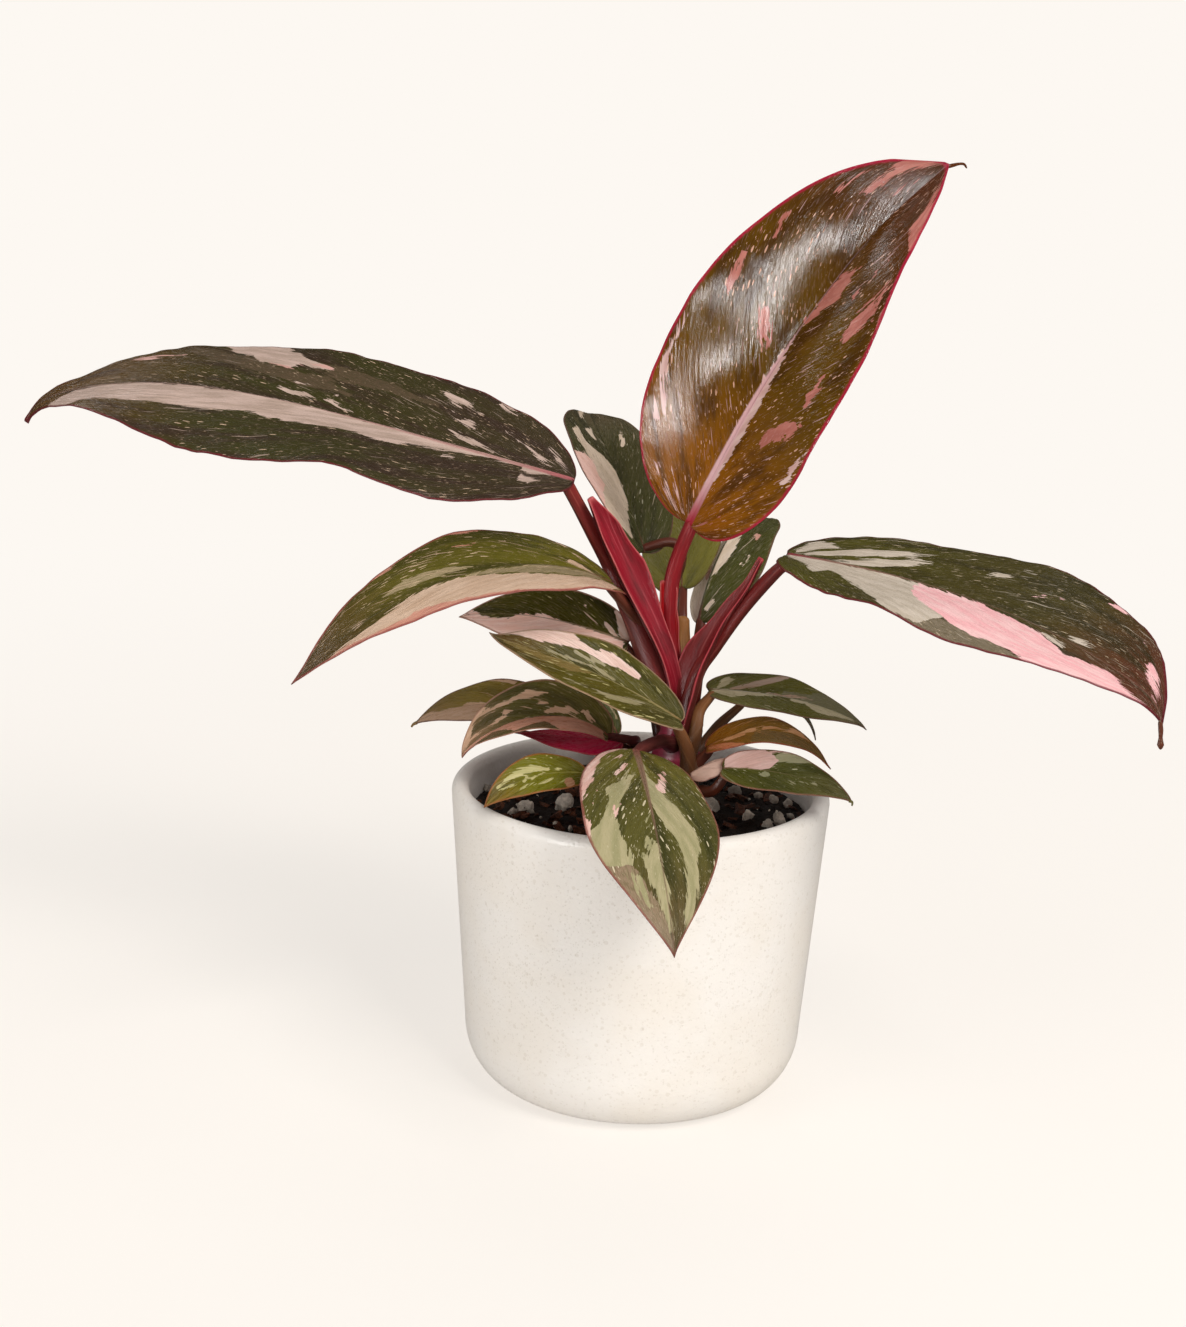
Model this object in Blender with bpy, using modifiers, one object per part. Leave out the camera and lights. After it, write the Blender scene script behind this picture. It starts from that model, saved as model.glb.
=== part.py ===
"""A young pink princess philodendron standing in an off-white pot.

Metres, +Z up. The origin is the centre of the pot's flat underside, and the plant is seen
in the photograph from -Y. The tables of leaves, stalks and sheaths are in millimetres, and
the functions below turn them into metres.
"""

import math
import random
from dataclasses import dataclass

import bmesh
import bpy
import numpy as np
from mathutils import Euler, Vector

MM = 0.001
GAP = 0.3 * MM

# Pot
POT_HEIGHT = 64 * MM
POT_RIM_RADIUS = 39 * MM
POT_WAIST_RADIUS = 35.3 * MM
POT_WAIST_HEIGHT = 12.5 * MM
POT_CORNER_REACH = 10 * MM
POT_WALL = 3.6 * MM
POT_FLOOR = 4 * MM
POT_LIP_RISE = 2.2 * MM
POT_INNER_CORNER = 8 * MM
POT_STEPS = 48
LIP_POINTS = 6
CORNER_POINTS = 5

# Soil
SOIL_EDGE_HEIGHT = 57.4 * MM
SOIL_MOUND = 0.9 * MM
SOIL_TOP_RINGS = 3
PEBBLES = (
    (-26, -4.5, 2.1),
    (-22.5, -2, 1.9),
    (-15.5, 1, 2.4),
    (-31, 12, 1.7),
    (15.5, 5, 2.8),
    (20, 14, 1.7),
    (25, 13, 1.6),
    (28, 11, 1.8),
    (31, 4, 1.5),
    (22.5, -1.5, 1.9),
    (27, -5.5, 1.6),
    (29, -1.5, 1.4),
)
GRANULE_COUNT = 26
GRANULE_SEED = 7
GRANULE_SMALLEST = 0.9 * MM
GRANULE_LARGEST = 2.1 * MM
GRANULE_SHOWING = 0.15
STEM_CLEARANCE = 3.5 * MM

# Leaves and stalks
BLADE_THICKNESS = 0.8 * MM
BLADE_ROUNDNESS = 2.2
BLADE_FULLNESS = 0.55
LOBE_REACH = 0.05
MARGIN_LAG = 1.3
HOOK_START = 0.9
HOOK_POWER = 1.5
RIB_STEPS = 100
ROW_CROWDING = 1.3
SHEATH_THICKNESS = 1.1 * MM
SHEATH_ROWS = 3
SHEATH_COLUMNS = 6
STALK_STEPS = 2
SLIM_STALK = 1.9
STALK_EASE = 0.15
STEM_SIDES = 16
STEM_DEPTH = 9 * MM
STEM_NECK = 2.5 * MM
CROWN_TAPER = 0.6
HOLE_ABOVE = 6 * MM


@dataclass(frozen=True)
class Leaf:
    """One blade. Angles are in degrees, and heading 0 points to +X and 90 to +Y.

    The midrib leaves the base along heading and pitch, turns by sweep and falls by droop on
    its way to the tip. roll and twist turn the blade about the rib, fold lifts both halves
    into a shallow V, and camber lets their margins fall again.
    """

    name: str
    base: tuple
    heading: float
    pitch: float
    length: float
    width: float
    sweep: float = 0
    droop: float = 40
    late: float = 1.4
    roll: float = 0
    twist: float = 0
    fold: float = 12
    camber: float = 0.10
    widest: float = 0.36
    full: float = 1.9
    taper: float = 1.1
    lobe: float = 0.04
    hook: float = 0
    wave: float = 0.03
    waves: float = 2.5
    rows: int = 10
    columns: int = 6
    colour: tuple = (0.09, 0.12, 0.05)


DARK_GREEN = (0.055, 0.065, 0.04)
OLIVE_GREEN = (0.13, 0.13, 0.03)
BRONZE = (0.16, 0.06, 0.012)
AMBER = (0.22, 0.11, 0.02)
SAGE = (0.16, 0.17, 0.09)
DUSTY_PINK = (0.45, 0.22, 0.18)
WINE = (0.12, 0.01, 0.02)

LEAVES = (
    Leaf("leaf_top_bronze", (7.9, 2, 118.2), heading=-36, sweep=-9, pitch=63, droop=27, late=1.6,
         length=94.5, width=43.5, roll=92, twist=-3, fold=22, camber=0, full=2.2, taper=0.8,
         lobe=0.01, hook=-4, rows=14, columns=8, colour=BRONZE),
    Leaf("leaf_long_left", (-16, 2, 125.9), heading=177, sweep=-19, pitch=13, droop=41, late=3,
         length=125, width=47.5, roll=-19, fold=9, camber=0.11, widest=0.39, full=2.3, taper=1.2,
         lobe=0.01, hook=31, wave=0.06, waves=2.5, rows=14, columns=8, colour=DARK_GREEN),
    Leaf("leaf_long_right", (27.5, 0, 112.8), heading=-34, sweep=-28, pitch=0, droop=16, late=1.6,
         length=96.5, width=46.5, roll=5, fold=10, camber=0.07, widest=0.5, full=2.1, taper=1.3,
         hook=53, rows=14, columns=8, colour=DARK_GREEN),
    Leaf("leaf_mid_left", (-7.3, -3, 106), heading=216, sweep=-1, pitch=30, droop=71, late=0.8,
         length=77, width=28.5, roll=-16, twist=8, fold=13, camber=0.09, widest=0.34, full=1.7,
         lobe=0.03, hook=-6, colour=OLIVE_GREEN),
    Leaf("leaf_front", (-1.4, -22, 77.3), heading=-84, sweep=8, pitch=0, droop=53, late=1.2,
         length=58.5, width=26.5, roll=-7, twist=-4, fold=3, camber=0.15, widest=0.48,
         taper=1.2, lobe=0.03, hook=7, colour=SAGE),
    Leaf("leaf_rear_left", (-1.5, 14, 109.5), heading=125, sweep=-30, pitch=57, droop=62, late=1.1,
         length=51, width=24, roll=16, twist=-9, fold=20, camber=0.07, full=1.6, taper=1.2,
         lobe=0.03, colour=DARK_GREEN),
    Leaf("leaf_rear", (7.2, 22, 100.3), heading=90, sweep=-2, pitch=39, droop=45,
         length=48, width=20.5, roll=-29, fold=11, colour=OLIVE_GREEN),
    Leaf("leaf_rear_right", (10.9, 16, 94.6), heading=65, sweep=9, pitch=65, droop=103, late=1.1,
         length=48.5, width=21.5, roll=-28, twist=-4, fold=-9, camber=0.22, full=1.7,
         lobe=0.01, colour=SAGE),
    Leaf("leaf_low_left", (-3.8, 6, 92), heading=174, sweep=-5, pitch=18, droop=31, late=1.3,
         length=36.5, width=16, roll=-45, twist=-3, fold=9, camber=0.11, lobe=0.03,
         colour=OLIVE_GREEN),
    Leaf("leaf_striped_left", (7.3, -14, 81.2), heading=192, sweep=-4, pitch=34, droop=19, late=1,
         length=43, width=18, roll=-25, twist=-15, fold=16, camber=0.07, widest=0.39, hook=-30,
         colour=SAGE),
    Leaf("leaf_curled_left", (-4.8, -6, 75), heading=189, sweep=-9, pitch=52, droop=102, late=0.7,
         length=36, width=16, roll=-34, twist=14, fold=27, camber=0, full=2.2, taper=0.9,
         lobe=0.05, hook=16, rows=8, columns=4, colour=DUSTY_PINK),
    Leaf("leaf_outer_left", (-17.2, 10, 74.7), heading=176, pitch=11, droop=45, late=1.5,
         length=32.5, width=13.5, roll=-30, fold=16, camber=0.07, lobe=0.05, rows=8, columns=4,
         colour=OLIVE_GREEN),
    Leaf("leaf_small_left", (-11, -18, 70.7), heading=208, sweep=8, pitch=10, droop=51, late=1.6,
         length=24, width=10.5, roll=-25, twist=-9, fold=15, camber=0.06, rows=8, columns=4,
         colour=OLIVE_GREEN),
    Leaf("leaf_hooked_left", (-9, 13, 66), heading=172, pitch=13, droop=11,
         length=24, width=9, roll=10, hook=-70, rows=8, columns=4, colour=AMBER),
    Leaf("leaf_wine_left", (-4.4, -2, 73.2), heading=189, sweep=3, pitch=3, droop=-6,
         length=21.5, width=10.5, roll=-17, twist=7, fold=4, camber=0.14, rows=8, columns=4,
         colour=WINE),
    Leaf("leaf_striped_small", (-5.6, 6, 72.4), heading=165, pitch=63, droop=52,
         length=14, width=6.5, roll=-26, rows=6, columns=4, colour=SAGE),
    Leaf("leaf_upper_right", (13.3, 4, 83), heading=4, pitch=-1, droop=27,
         length=34.5, width=14.5, roll=14, twist=13, fold=13, camber=0.09, full=1.8, taper=1.2,
         hook=21, rows=8, columns=4, colour=SAGE),
    Leaf("leaf_amber_right", (13.2, -8, 74.1), heading=-7, sweep=5, pitch=35, droop=91, late=1.2,
         length=28, width=11.5, roll=15, twist=-4, fold=14, camber=0.09, full=1.7, taper=1.2,
         hook=-7, rows=8, columns=4, colour=AMBER),
    Leaf("leaf_small_right", (16.1, -18, 73), heading=-10, sweep=-2, pitch=4, droop=32, late=1.5,
         length=27, width=11.5, roll=30, fold=13, camber=0.09, hook=20, rows=8, columns=4,
         colour=OLIVE_GREEN),
    Leaf("leaf_cupped_right", (10, -14.2, 70.4), heading=-6, pitch=36, droop=25, length=8, width=6,
         roll=10, fold=0, camber=0.35, widest=0.45, rows=6, columns=4, colour=DUSTY_PINK),
    Leaf("leaf_back_right", (20, 14, 78), heading=12, pitch=11, droop=91,
         length=21.5, width=9, roll=10, rows=8, columns=4, colour=SAGE),
)


@dataclass(frozen=True)
class Stalk:
    """A round stalk along points in millimetres, up to the underside of its leaf's base.

    There is a radius for each point, and one more for the end under the leaf. A stalk that
    has no leaf ends at its last point.
    """

    leaf: str
    points: tuple
    radii: tuple


@dataclass(frozen=True)
class Sheath:
    """The winged channel at a stalk's foot: a sheet bent about its middle line.

    opening is the way that the channel opens, half_widths are measured across it, and bend
    is half of the angle that the sheet turns through.
    """

    points: tuple
    half_widths: tuple
    opening: tuple
    bend: float = 75


@dataclass(frozen=True)
class Shoot:
    """A stem that stands in the soil, with the stalks and sheaths that grow from it."""

    name: str
    foot: tuple
    foot_radius: float
    crown_height: float
    crown_radius: float
    stalks: tuple
    sheaths: tuple = ()
    colour: tuple = WINE


CRIMSON = (0.28, 0.02, 0.05)
RUST = (0.3, 0.08, 0.04)

SHOOTS = (
    Shoot(
        "shoot_main", foot=(7, 1), foot_radius=4.6, crown_height=80, crown_radius=5, colour=CRIMSON,
        stalks=(
            Stalk("leaf_long_left",
                  ((7, 1, 72), (4.5, 2.5, 86), (-2.5, 4, 96), (-8, 4, 107), (-13, 3.5, 117)),
                  (2.8, 2.4, 2.1, 1.9, 1.8, 1.5)),
            Stalk("leaf_top_bronze", ((7, 2, 72), (6, 3.5, 86), (4.5, 4, 97), (5, 3.5, 108)),
                  (2.6, 2.3, 2, 1.8, 1.5)),
            Stalk("leaf_long_right",
                  ((8, 1, 72), (10.5, 1.5, 86), (14.5, 1.5, 93), (20, 1, 102), (25, 0.5, 109)),
                  (2.8, 2.4, 2.1, 1.8, 1.6, 1.2)),
            Stalk("leaf_mid_left", ((6, 0, 74), (1, -2, 88), (-3.5, -3, 97)), (1.8, 1.5, 1.3, 1)),
            Stalk("leaf_rear_left", ((6, 5, 72), (7.5, 10, 88), (7, 14.5, 99), (2.5, 16.5, 105.5)),
                  (1.8, 1.5, 1.3, 1.2, 1)),
            Stalk("leaf_rear", ((8, 6, 72), (7.6, 12, 84), (7.3, 17.5, 95)), (1.6, 1.4, 1.1, 0.9)),
            Stalk("leaf_rear_right", ((9, 5, 72), (10.5, 10, 83), (11, 14, 90)), (1.8, 1.5, 1.3, 1)),
            Stalk("leaf_low_left", ((4, 3, 72), (1, 5, 84)), (1.6, 1.3, 0.9)),
            Stalk("leaf_upper_right", ((9, -3, 70), (10.5, -4, 76), (11.3, -2.5, 80.5)),
                  (2, 1.6, 1.3, 0.9)),
            Stalk("leaf_back_right", ((8, 2, 66), (12.5, 5, 71), (16, 9.5, 74.5)), (1.6, 1.3, 1.1, 0.8)),
            Stalk("leaf_front", ((7, 0, 72), (4, -8, 75.5), (0.5, -16, 76.5)), (2, 1.5, 1.3, 1)),
            Stalk("", ((8, 6, 72), (7.6, 12, 84), (7.4, 15, 90), (7.3, 16.5, 95.8)), (2, 1.9, 1.8, 1.6)),
        ),
        sheaths=(
            Sheath(((-12.6, 0.5, 123), (-9.5, 2.5, 116), (-5.5, 3, 108), (0, 3, 98), (4, 2, 89),
                    (6.5, 1, 80), (7, 1, 73)),
                   (0.7, 2.2, 3.6, 4.6, 5.2, 5.4, 5), opening=(0.75, -0.65, 0.2)),
            Sheath(((3.6, 3, 106), (4, 3.5, 98), (5, 3.5, 88), (7, 3, 76)),
                   (1.9, 3, 4, 4.6), opening=(0.3, -0.9, 0)),
            Sheath(((22.6, 0.5, 112), (20, 1, 106), (15.5, 1.5, 98.5), (12, 1.5, 91), (9.5, 1.2, 82),
                    (8, 1, 73)),
                   (0.6, 2.2, 4.2, 5, 5.2, 5), opening=(-0.7, -0.5, 0.6)),
        ),
    ),
    Shoot(
        "shoot_left", foot=(-3, 7), foot_radius=2.6, crown_height=70, crown_radius=2.4, colour=RUST,
        stalks=(
            Stalk("leaf_curled_left", ((-3, 7, 66), (-1.5, 2, 72), (-2.6, -3, 74)), (1.6, 1.2, 1, 0.8)),
            Stalk("leaf_outer_left", ((-3, 8, 66), (-7, 9.5, 70.5), (-12, 10, 73)), (1.5, 1.2, 1, 0.8)),
            Stalk("leaf_hooked_left", ((-3, 8, 62), (-5, 11, 63.5)), (1.3, 1, 0.7)),
            Stalk("leaf_wine_left", ((-3, 6, 66), (-2.5, 1, 70)), (1.5, 1.1, 0.8)),
            Stalk("leaf_striped_small", ((-3, 7, 66), (-4.5, 6.3, 69)), (1.5, 1.1, 0.8)),
        ),
    ),
    Shoot(
        "shoot_right", foot=(9.5, -8), foot_radius=2.8, crown_height=68, crown_radius=2.8, colour=RUST,
        stalks=(
            Stalk("leaf_striped_left", ((9.5, -8, 64), (9.6, -9.5, 70), (8.6, -12, 76)),
                  (2.2, 1.9, 1.4, 1)),
            Stalk("leaf_amber_right", ((9.5, -8, 64), (10.5, -8, 70)), (2, 1.5, 0.9)),
            Stalk("leaf_small_right", ((9.5, -9, 62), (11.5, -12.5, 66.4), (14.5, -17, 68.4)),
                  (1.8, 1.4, 1.2, 0.9)),
            Stalk("leaf_cupped_right", ((9.5, -9, 62), (9.5, -11.5, 67)), (1.8, 1.3, 0.9)),
        ),
    ),
    Shoot(
        "shoot_front_left", foot=(-7, -12), foot_radius=1.8, crown_height=64, crown_radius=1.6,
        colour=RUST,
        stalks=(Stalk("leaf_small_left", ((-7, -12, 62), (-7.5, -15, 67)), (1.4, 1.1, 0.8)),),
    ),
)


def clear_scene():
    for obj in list(bpy.data.objects):
        bpy.data.objects.remove(obj)


def new_collection(name):
    collection = bpy.data.collections.new(name)
    bpy.context.scene.collection.children.link(collection)
    return collection


def principled(name, colour, roughness):
    material = bpy.data.materials.new(name)
    material.use_nodes = True
    shader = material.node_tree.nodes["Principled BSDF"]
    shader.inputs["Base Color"].default_value = (*colour, 1)
    shader.inputs["Roughness"].default_value = roughness
    return material


def mesh_object(name, mesh, collection):
    obj = bpy.data.objects.new(name, mesh)
    collection.objects.link(obj)
    return obj


def object_from_bmesh(name, shape, collection):
    mesh = bpy.data.meshes.new(name)
    shape.to_mesh(mesh)
    shape.free()
    return mesh_object(name, mesh, collection)


def frozen(obj):
    """Replaces an object's mesh by the mesh that its modifiers make, and drops them."""
    graph = bpy.context.evaluated_depsgraph_get()
    mesh = bpy.data.meshes.new_from_object(obj.evaluated_get(graph))
    obj.modifiers.clear()
    obj.data = mesh
    return obj


def join(base, others, helpers, operation="UNION"):
    """One Boolean of base with every other object, applied. The others are removed."""
    for obj in others:
        for collection in list(obj.users_collection):
            collection.objects.unlink(obj)
        helpers.objects.link(obj)
        obj.hide_render = True
        obj.display_type = "WIRE"
    boolean = base.modifiers.new("join", "BOOLEAN")
    boolean.operation = operation
    boolean.operand_type = "COLLECTION"
    boolean.collection = helpers
    boolean.solver = "EXACT"
    frozen(base)
    for obj in others:
        bpy.data.objects.remove(obj)
    return base


def keep_outer_shell(obj):
    """Fills the pockets that a union seals and drops its scraps, by keeping the widest shell."""
    shape = bmesh.new()
    shape.from_mesh(obj.data)
    shells = []
    unseen = set(shape.verts)
    while unseen:
        shell, edge = set(), [unseen.pop()]
        while edge:
            vert = edge.pop()
            shell.add(vert)
            near = {link.other_vert(vert) for link in vert.link_edges} & unseen
            unseen -= near
            edge.extend(near)
        shells.append(shell)

    def extent(shell):
        heights = [vert.co.z for vert in shell]
        return max(heights) - min(heights)

    shells.sort(key=extent)
    for shell in shells[:-1]:
        bmesh.ops.delete(shape, geom=list(shell), context="VERTS")
    shape.to_mesh(obj.data)
    shape.free()


def arc(centre, reach, rise, start, end, count):
    """Points of an elliptical arc in the profile plane, from start to end degrees."""
    for i in range(count + 1):
        angle = math.radians(start + (end - start) * i / count)
        yield centre[0] + reach * math.cos(angle), centre[1] + rise * math.sin(angle)


def turned(name, profile, collection):
    """A solid turned about Z from a profile that runs down its outer side."""
    shape = bmesh.new()
    verts = [shape.verts.new((x, 0, z)) for x, z in profile]
    for a, b in zip(verts, verts[1:]):
        shape.edges.new((a, b))
    obj = object_from_bmesh(name, shape, collection)
    screw = obj.modifiers.new("turn", "SCREW")
    screw.steps = POT_STEPS
    screw.render_steps = POT_STEPS
    screw.use_merge_vertices = True
    screw.merge_threshold = 0.00001
    return frozen(obj)


def inner_radius(z):
    """The radius of the pot's inner wall at a height above its inner corner."""
    top = POT_HEIGHT - POT_LIP_RISE
    share = (top - z) / (top - POT_WAIST_HEIGHT)
    outer = POT_RIM_RADIUS + (POT_WAIST_RADIUS - POT_RIM_RADIUS) * share
    return outer - POT_WALL


def build_pot(collection):
    shoulder = POT_HEIGHT - POT_LIP_RISE
    lip_centre = (POT_RIM_RADIUS - POT_WALL / 2, shoulder)
    corner_centre = (POT_WAIST_RADIUS - POT_CORNER_REACH, POT_WAIST_HEIGHT)
    inner_top = POT_FLOOR + POT_INNER_CORNER
    inner_centre = (inner_radius(inner_top) - POT_INNER_CORNER, inner_top)
    profile = [(0, POT_FLOOR)]
    profile += arc(inner_centre, POT_INNER_CORNER, POT_INNER_CORNER, -90, 0, CORNER_POINTS)
    profile += arc(lip_centre, POT_WALL / 2, POT_LIP_RISE, 180, 0, LIP_POINTS)
    profile += arc(corner_centre, POT_CORNER_REACH, POT_WAIST_HEIGHT, 0, -90, CORNER_POINTS)
    profile.append((0, 0))
    pot = turned("pot", profile, collection)
    pot.data.shade_smooth()
    pot.data.set_sharp_from_angle(angle=math.radians(40))
    pot.data.materials.append(principled("pot_glaze", (0.86, 0.82, 0.76), 0.45))
    return pot


def soil_height(radius):
    edge = inner_radius(SOIL_EDGE_HEIGHT) - GAP
    return SOIL_EDGE_HEIGHT + SOIL_MOUND * (1 - (radius / edge) ** 2)


def granule_places():
    """(x, y, size) of the perlite and bark: the pebbles, then smaller bits by a seeded rule."""
    draw = random.Random(GRANULE_SEED)
    edge = inner_radius(SOIL_EDGE_HEIGHT) - GAP
    places = [(x * MM, y * MM, size * MM) for x, y, size in PEBBLES]
    while len(places) < GRANULE_COUNT:
        size = draw.uniform(GRANULE_SMALLEST, GRANULE_LARGEST)
        radius = (edge - 2 * size) * math.sqrt(draw.random())
        angle = draw.uniform(0, 2 * math.pi)
        x, y = radius * math.cos(angle), radius * math.sin(angle)
        crowded = any(
            math.dist((x, y), [c * MM for c in shoot.foot]) < shoot.foot_radius * MM + STEM_CLEARANCE
            for shoot in SHOOTS
        )
        touching = any(math.dist((x, y), place[:2]) < size + place[2] for place in places)
        if not crowded and not touching:
            places.append((x, y, size))
    return places


def granules(collection):
    draw = random.Random(GRANULE_SEED)
    made = []
    for x, y, size in granule_places():
        turn = Euler([draw.uniform(0, math.pi) for _ in range(3)])
        flat = draw.uniform(0.7, 0.95)
        shape = bmesh.new()
        bmesh.ops.create_icosphere(shape, subdivisions=1, radius=size)
        for vert in shape.verts:
            vert.co.z *= flat
            vert.co.rotate(turn)
        obj = object_from_bmesh(f"granule_{len(made)}", shape, collection)
        obj.location = (x, y, soil_height(math.hypot(x, y)) + size * GRANULE_SHOWING)
        made.append(obj)
    bpy.context.view_layer.update()
    return made


def stem_hole(shoot, collection):
    """A plain round hole that a stem stands in, with the gap all round it."""
    depth = STEM_DEPTH + GAP
    shape = bmesh.new()
    bmesh.ops.create_cone(
        shape, cap_ends=True, segments=STEM_SIDES, depth=depth + HOLE_ABOVE,
        radius1=shoot.foot_radius * MM + GAP, radius2=shoot.foot_radius * MM + GAP,
    )
    obj = object_from_bmesh(f"hole_{shoot.name}", shape, collection)
    foot = [c * MM for c in shoot.foot]
    obj.location = (*foot, SOIL_EDGE_HEIGHT - depth + (depth + HOLE_ABOVE) / 2)
    return obj


def build_soil(collection, helpers):
    inner_top = POT_FLOOR + POT_INNER_CORNER
    reach = POT_INNER_CORNER - GAP
    centre = (inner_radius(inner_top) - POT_INNER_CORNER, inner_top)
    edge = inner_radius(SOIL_EDGE_HEIGHT) - GAP
    rings = [edge * i / SOIL_TOP_RINGS for i in range(SOIL_TOP_RINGS + 1)]
    profile = [(r, soil_height(r)) for r in rings]
    profile += arc(centre, reach, reach, 0, -90, CORNER_POINTS)
    profile.append((0, POT_FLOOR + GAP))
    soil = turned("soil", profile, collection)
    join(soil, granules(collection), helpers)
    bpy.context.view_layer.update()
    join(soil, [stem_hole(shoot, collection) for shoot in SHOOTS], helpers, "DIFFERENCE")
    soil.data.materials.clear()
    soil.data.materials.append(principled("soil_mix", (0.03, 0.02, 0.014), 0.95))
    return soil


def rib_frames(leaf, share):
    """Unit vectors along the rib, to its left and up from the blade, at shares of its length."""
    hooked = np.clip((share - HOOK_START) / (1 - HOOK_START), 0, 1) ** HOOK_POWER
    heading = np.radians(leaf.heading + leaf.sweep * share)
    pitch = np.radians(leaf.pitch - leaf.droop * share**leaf.late - leaf.hook * hooked)
    roll = np.radians(leaf.roll + leaf.twist * share)[:, None]
    along = np.stack(
        [np.cos(pitch) * np.cos(heading), np.cos(pitch) * np.sin(heading), np.sin(pitch)], -1
    )
    level = np.stack([-np.sin(heading), np.cos(heading), 0 * heading], -1)
    above = np.cross(along, level)
    left = level * np.cos(roll) + above * np.sin(roll)
    up = above * np.cos(roll) - level * np.sin(roll)
    return along, left, up


def blade_point(leaf, row, across):
    """Where the blade's middle surface is, for row 0 to 1 along it and across -1 to 1."""
    middles = (np.arange(RIB_STEPS) + 0.5) / RIB_STEPS
    rib = np.vstack([np.zeros(3), np.cumsum(rib_frames(leaf, middles)[0], 0)])
    rib = rib * leaf.length / RIB_STEPS + np.array(leaf.base)

    before = min(row / leaf.widest, 1)
    after = max((row - leaf.widest) / (1 - leaf.widest), 0)
    rise = (1 - (1 - before) ** BLADE_ROUNDNESS) ** BLADE_FULLNESS
    fall = (1 - after**leaf.full) ** leaf.taper
    half_width = leaf.width / 2 * rise * fall
    back = leaf.lobe * math.sqrt(row / LOBE_REACH) * math.exp((1 - row / LOBE_REACH) / 2)

    side = abs(across)
    share = row - back * side**1.5
    inside = min(max(share, 0), 1)
    along, left, up = (v[0] for v in rib_frames(leaf, np.array([inside])))
    place = np.array([np.interp(inside * RIB_STEPS, range(RIB_STEPS + 1), rib[:, k]) for k in range(3)])
    place = place + along * min(share, 0) * leaf.length
    ripple = math.sin(2 * math.pi * leaf.waves * row + (0 if across > 0 else MARGIN_LAG))
    out = across * half_width
    lift = abs(out) * math.sin(math.radians(leaf.fold))
    lift += half_width * side**2 * (leaf.wave * ripple - leaf.camber)
    return (place + left * out * math.cos(math.radians(leaf.fold)) + up * lift) * MM


def build_leaf(leaf, collection):
    shape = bmesh.new()
    bmesh.ops.create_grid(shape, x_segments=leaf.rows, y_segments=leaf.columns, size=1)
    for vert in shape.verts:
        row = (vert.co.x / 2 + 0.5) ** ROW_CROWDING
        vert.co = blade_point(leaf, row, vert.co.y)
    bmesh.ops.remove_doubles(shape, verts=shape.verts, dist=0.01 * MM)
    bmesh.ops.triangulate(shape, faces=shape.faces)
    obj = object_from_bmesh(leaf.name, shape, collection)
    solidify = obj.modifiers.new("blade", "SOLIDIFY")
    solidify.thickness = BLADE_THICKNESS
    solidify.offset = 0
    obj.data.shade_smooth()
    obj.data.materials.append(principled(leaf.name, leaf.colour, 0.35))
    return obj


def seat_under(leaf, before, radius):
    """Where a stalk that comes from a point ends, its cap clear of the blade by the gap."""
    along, _, up = (v[0] for v in rib_frames(leaf, np.array([0.0])))
    arriving = np.array(leaf.base) - np.array(before)
    arriving = arriving / np.linalg.norm(arriving)
    tilt = math.sqrt(max(1 - float(arriving @ up) ** 2, 0))
    below = (BLADE_THICKNESS / 2 + GAP) / MM + STALK_EASE + radius * tilt
    return tuple(np.array(leaf.base) + along * radius * (1 - tilt) - up * below)


def stalk_mesh(name, stalk, collection):
    points = list(stalk.points)
    if stalk.leaf:
        leaf = next(leaf for leaf in LEAVES if leaf.name == stalk.leaf)
        points.append(seat_under(leaf, points[-1], stalk.radii[-1]))
    curve = bpy.data.curves.new(name, "CURVE")
    curve.dimensions = "3D"
    curve.bevel_depth = MM
    curve.bevel_resolution = 2 if max(stalk.radii) > SLIM_STALK else 1
    curve.resolution_u = STALK_STEPS
    curve.use_fill_caps = True
    spline = curve.splines.new("BEZIER")
    spline.bezier_points.add(len(points) - 1)
    for point, place, radius in zip(spline.bezier_points, points, stalk.radii):
        point.co = Vector(place) * MM
        point.radius = radius
        point.handle_left_type = "AUTO"
        point.handle_right_type = "AUTO"
    guide = mesh_object(name, curve, collection)
    graph = bpy.context.evaluated_depsgraph_get()
    mesh = bpy.data.meshes.new_from_object(guide.evaluated_get(graph))
    bpy.data.objects.remove(guide)
    shape = bmesh.new()
    shape.from_mesh(mesh)
    bmesh.ops.remove_doubles(shape, verts=shape.verts, dist=0.001 * MM)
    bmesh.ops.recalc_face_normals(shape, faces=shape.faces)
    return object_from_bmesh(name, shape, collection)


def smooth_path(points, shares):
    """Points of a smooth curve through the given points, at shares from 0 to 1."""
    points = np.array(points, float)
    ends = np.vstack([2 * points[0] - points[1], points, 2 * points[-1] - points[-2]])
    spots = shares * (len(points) - 1)
    first = np.minimum(spots.astype(int), len(points) - 2)
    t = (spots - first)[:, None]
    a, b, c, d = (ends[first + k] for k in range(4))
    square = 2 * a - 5 * b + 4 * c - d
    cube = 3 * b - a - 3 * c + d
    return 0.5 * (2 * b + (c - a) * t + square * t**2 + cube * t**3)


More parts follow.
